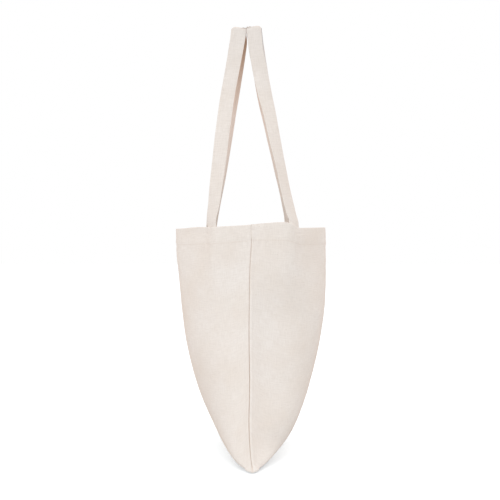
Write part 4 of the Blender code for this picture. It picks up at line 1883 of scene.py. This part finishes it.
@dataclass
class ToteBag:
    """The whole bag, from its cloth to its last stitch."""

    form: BagForm = field(default_factory=BagForm)
    wear: Wear = field(default_factory=Wear)
    sewing: Sewing = field(default_factory=Sewing)
    panel_columns: int = 91
    panel_crowding: float = 0.8
    panel_rows: int = 281
    panel_end_rows: float = 0.4
    bend_reach: float = 0.030
    front_hang: Hang = Hang(
        twist=((0.0, 1.0), (0.03, 0.85), (0.11, 0.49), (0.20, 0.36), (0.29, 0.30),
               (0.335, 0.10), (0.355, 0.0)),
        near_shift=((0.0, 0.0), (0.010, -0.0020), (0.037, -0.0018), (0.065, -0.0023),
                    (0.094, -0.0031), (0.122, -0.0038), (0.18, -0.0049), (0.24, -0.0045),
                    (0.27, -0.0033), (0.30, -0.0019), (0.338, -0.0004), (0.355, 0.0)),
        far_shift=((0.0, 0.0), (0.03, -0.0006), (0.075, 0.0003), (0.105, 0.0011),
                   (0.135, 0.0014), (0.165, 0.0017), (0.194, 0.0020), (0.223, 0.0021),
                   (0.252, 0.0031), (0.28, 0.0036), (0.309, 0.0038), (0.326, 0.0038),
                   (0.344, 0.0033), (0.36, 0.0)),
        top_raise=0.0009,
        seed=41,
    )
    back_hang: Hang = Hang(
        twist=((0.0, 1.0), (0.010, 1.02), (0.037, 1.03), (0.065, 1.04), (0.10, 1.03),
               (0.15, 0.86), (0.20, 0.66), (0.25, 0.32), (0.29, 0.10), (0.345, 0.0)),
        near_shift=((0.0, 0.0), (0.009, 0.0010), (0.020, -0.0003), (0.037, -0.0013),
                    (0.065, -0.0019), (0.094, -0.0016), (0.122, -0.0018), (0.18, -0.0021),
                    (0.21, -0.0021), (0.24, -0.0032), (0.27, -0.0033), (0.30, -0.0026),
                    (0.32, -0.0024), (0.345, -0.0006), (0.36, 0.0)),
        far_shift=((0.0, 0.0), (0.015, 0.0006), (0.026, 0.0018), (0.045, 0.0020),
                   (0.075, 0.0016), (0.105, 0.0005), (0.135, 0.0001), (0.165, -0.0006),
                   (0.194, -0.0010), (0.223, -0.0018), (0.28, -0.0012), (0.36, 0.0)),
        top_raise=0.0028,
        seed=57,
    )

    def _panels(self) -> dict[Side, Panel]:
        """Both panels' surfaces on fine grids, closer together toward their edges.

        Returns:
            The panels by their sides.
        """
        u = toward_seams(self.panel_columns, self.panel_crowding)
        v = toward_ends(self.panel_rows, self.panel_end_rows)
        return {side: Panel(side, self.form, self.wear, u, v) for side in Side}

    def _canvas(self) -> bpy.types.Material:
        """The body's cotton, with painted shade inside the seams and along the hem's sewn row.

        Returns:
            The material.
        """
        form, sewing = self.form, self.sewing
        return CottonFinish(
            "cotton_canvas", cream=(0.896, 0.849, 0.807), warm=(0.84, 0.765, 0.695),
            fleck=(0.50, 0.36, 0.24), slub=(0.75, 0.69, 0.635),
            seam=SeamShade(form.half_width - sewing.seam_bend),
            hem=HemLineShade(form.height - sewing.hem_line),
        ).material()

    def _strap_cloth(self) -> bpy.types.Material:
        """The straps' cotton, with longer slubs and flatter creases.

        Returns:
            The material.
        """
        return CottonFinish(
            "cotton_strap", cream=(0.869, 0.820, 0.778), warm=(0.805, 0.737, 0.674),
            fleck=(0.48, 0.34, 0.22), slub=(0.707, 0.653, 0.605),
            slub_length=0.022, slub_shade=0.6, crease_depth=0.0004,
            strap=StrapShade(self.form.strap_width / 2),
        ).material()

    def _body(self, panels: dict[Side, Panel], canvas: bpy.types.Material) -> None:
        """Args:
            panels: The panels' surfaces.
            canvas: Its finish.
        """
        body = ClothBody(self.form, self.sewing, panels).build()
        dress(body, canvas, "bag")
        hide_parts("body")

    def _handle(
        self, panel: Panel, cloth: bpy.types.Material, thread: bpy.types.Material
    ) -> None:
        """Builds and dresses one handle and its rows of stitches.

        Args:
            panel: The panel that it is sewn to.
            cloth: The strap's finish.
            thread: The stitches' finish.
        """
        hang = self.front_hang if panel.side is Side.FRONT else self.back_hang
        handle = Handle(panel.side, panel, self.form, self.sewing, hang)
        strap, rows = handle.build(), handle.edge_stitches()
        dress(strap, cloth, None)
        dress(rows, thread, None)
        base = f"{panel.side.word}_handle"
        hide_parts(f"{base}_loop", f"{base}_root_right", f"{base}_root_left",
                    f"{base}_foot_right", f"{base}_foot_left")
        for piece in (strap, rows):
            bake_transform(piece)

    def build(self) -> None:
        """Builds and dresses every piece."""
        canvas, strap_cloth = self._canvas(), self._strap_cloth()
        thread = ThreadFinish("sewing_thread", (0.88, 0.83, 0.77), (0.76, 0.69, 0.61)).material()
        panels = self._panels()
        self._body(panels, canvas)
        sewn = RimSewing(self.form, self.sewing, panels)
        for side, panel in panels.items():
            self._handle(panel, strap_cloth, thread)
            for piece in sewn.build(side):
                dress(piece, thread, "bag")


def main() -> None:
    """Loads the frame and builds the bag and its studio."""
    logging.basicConfig(level=logging.INFO, format="%(message)s")
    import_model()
    ToteBag().build()
    Studio().build()


if __name__ == "__main__":
    main()
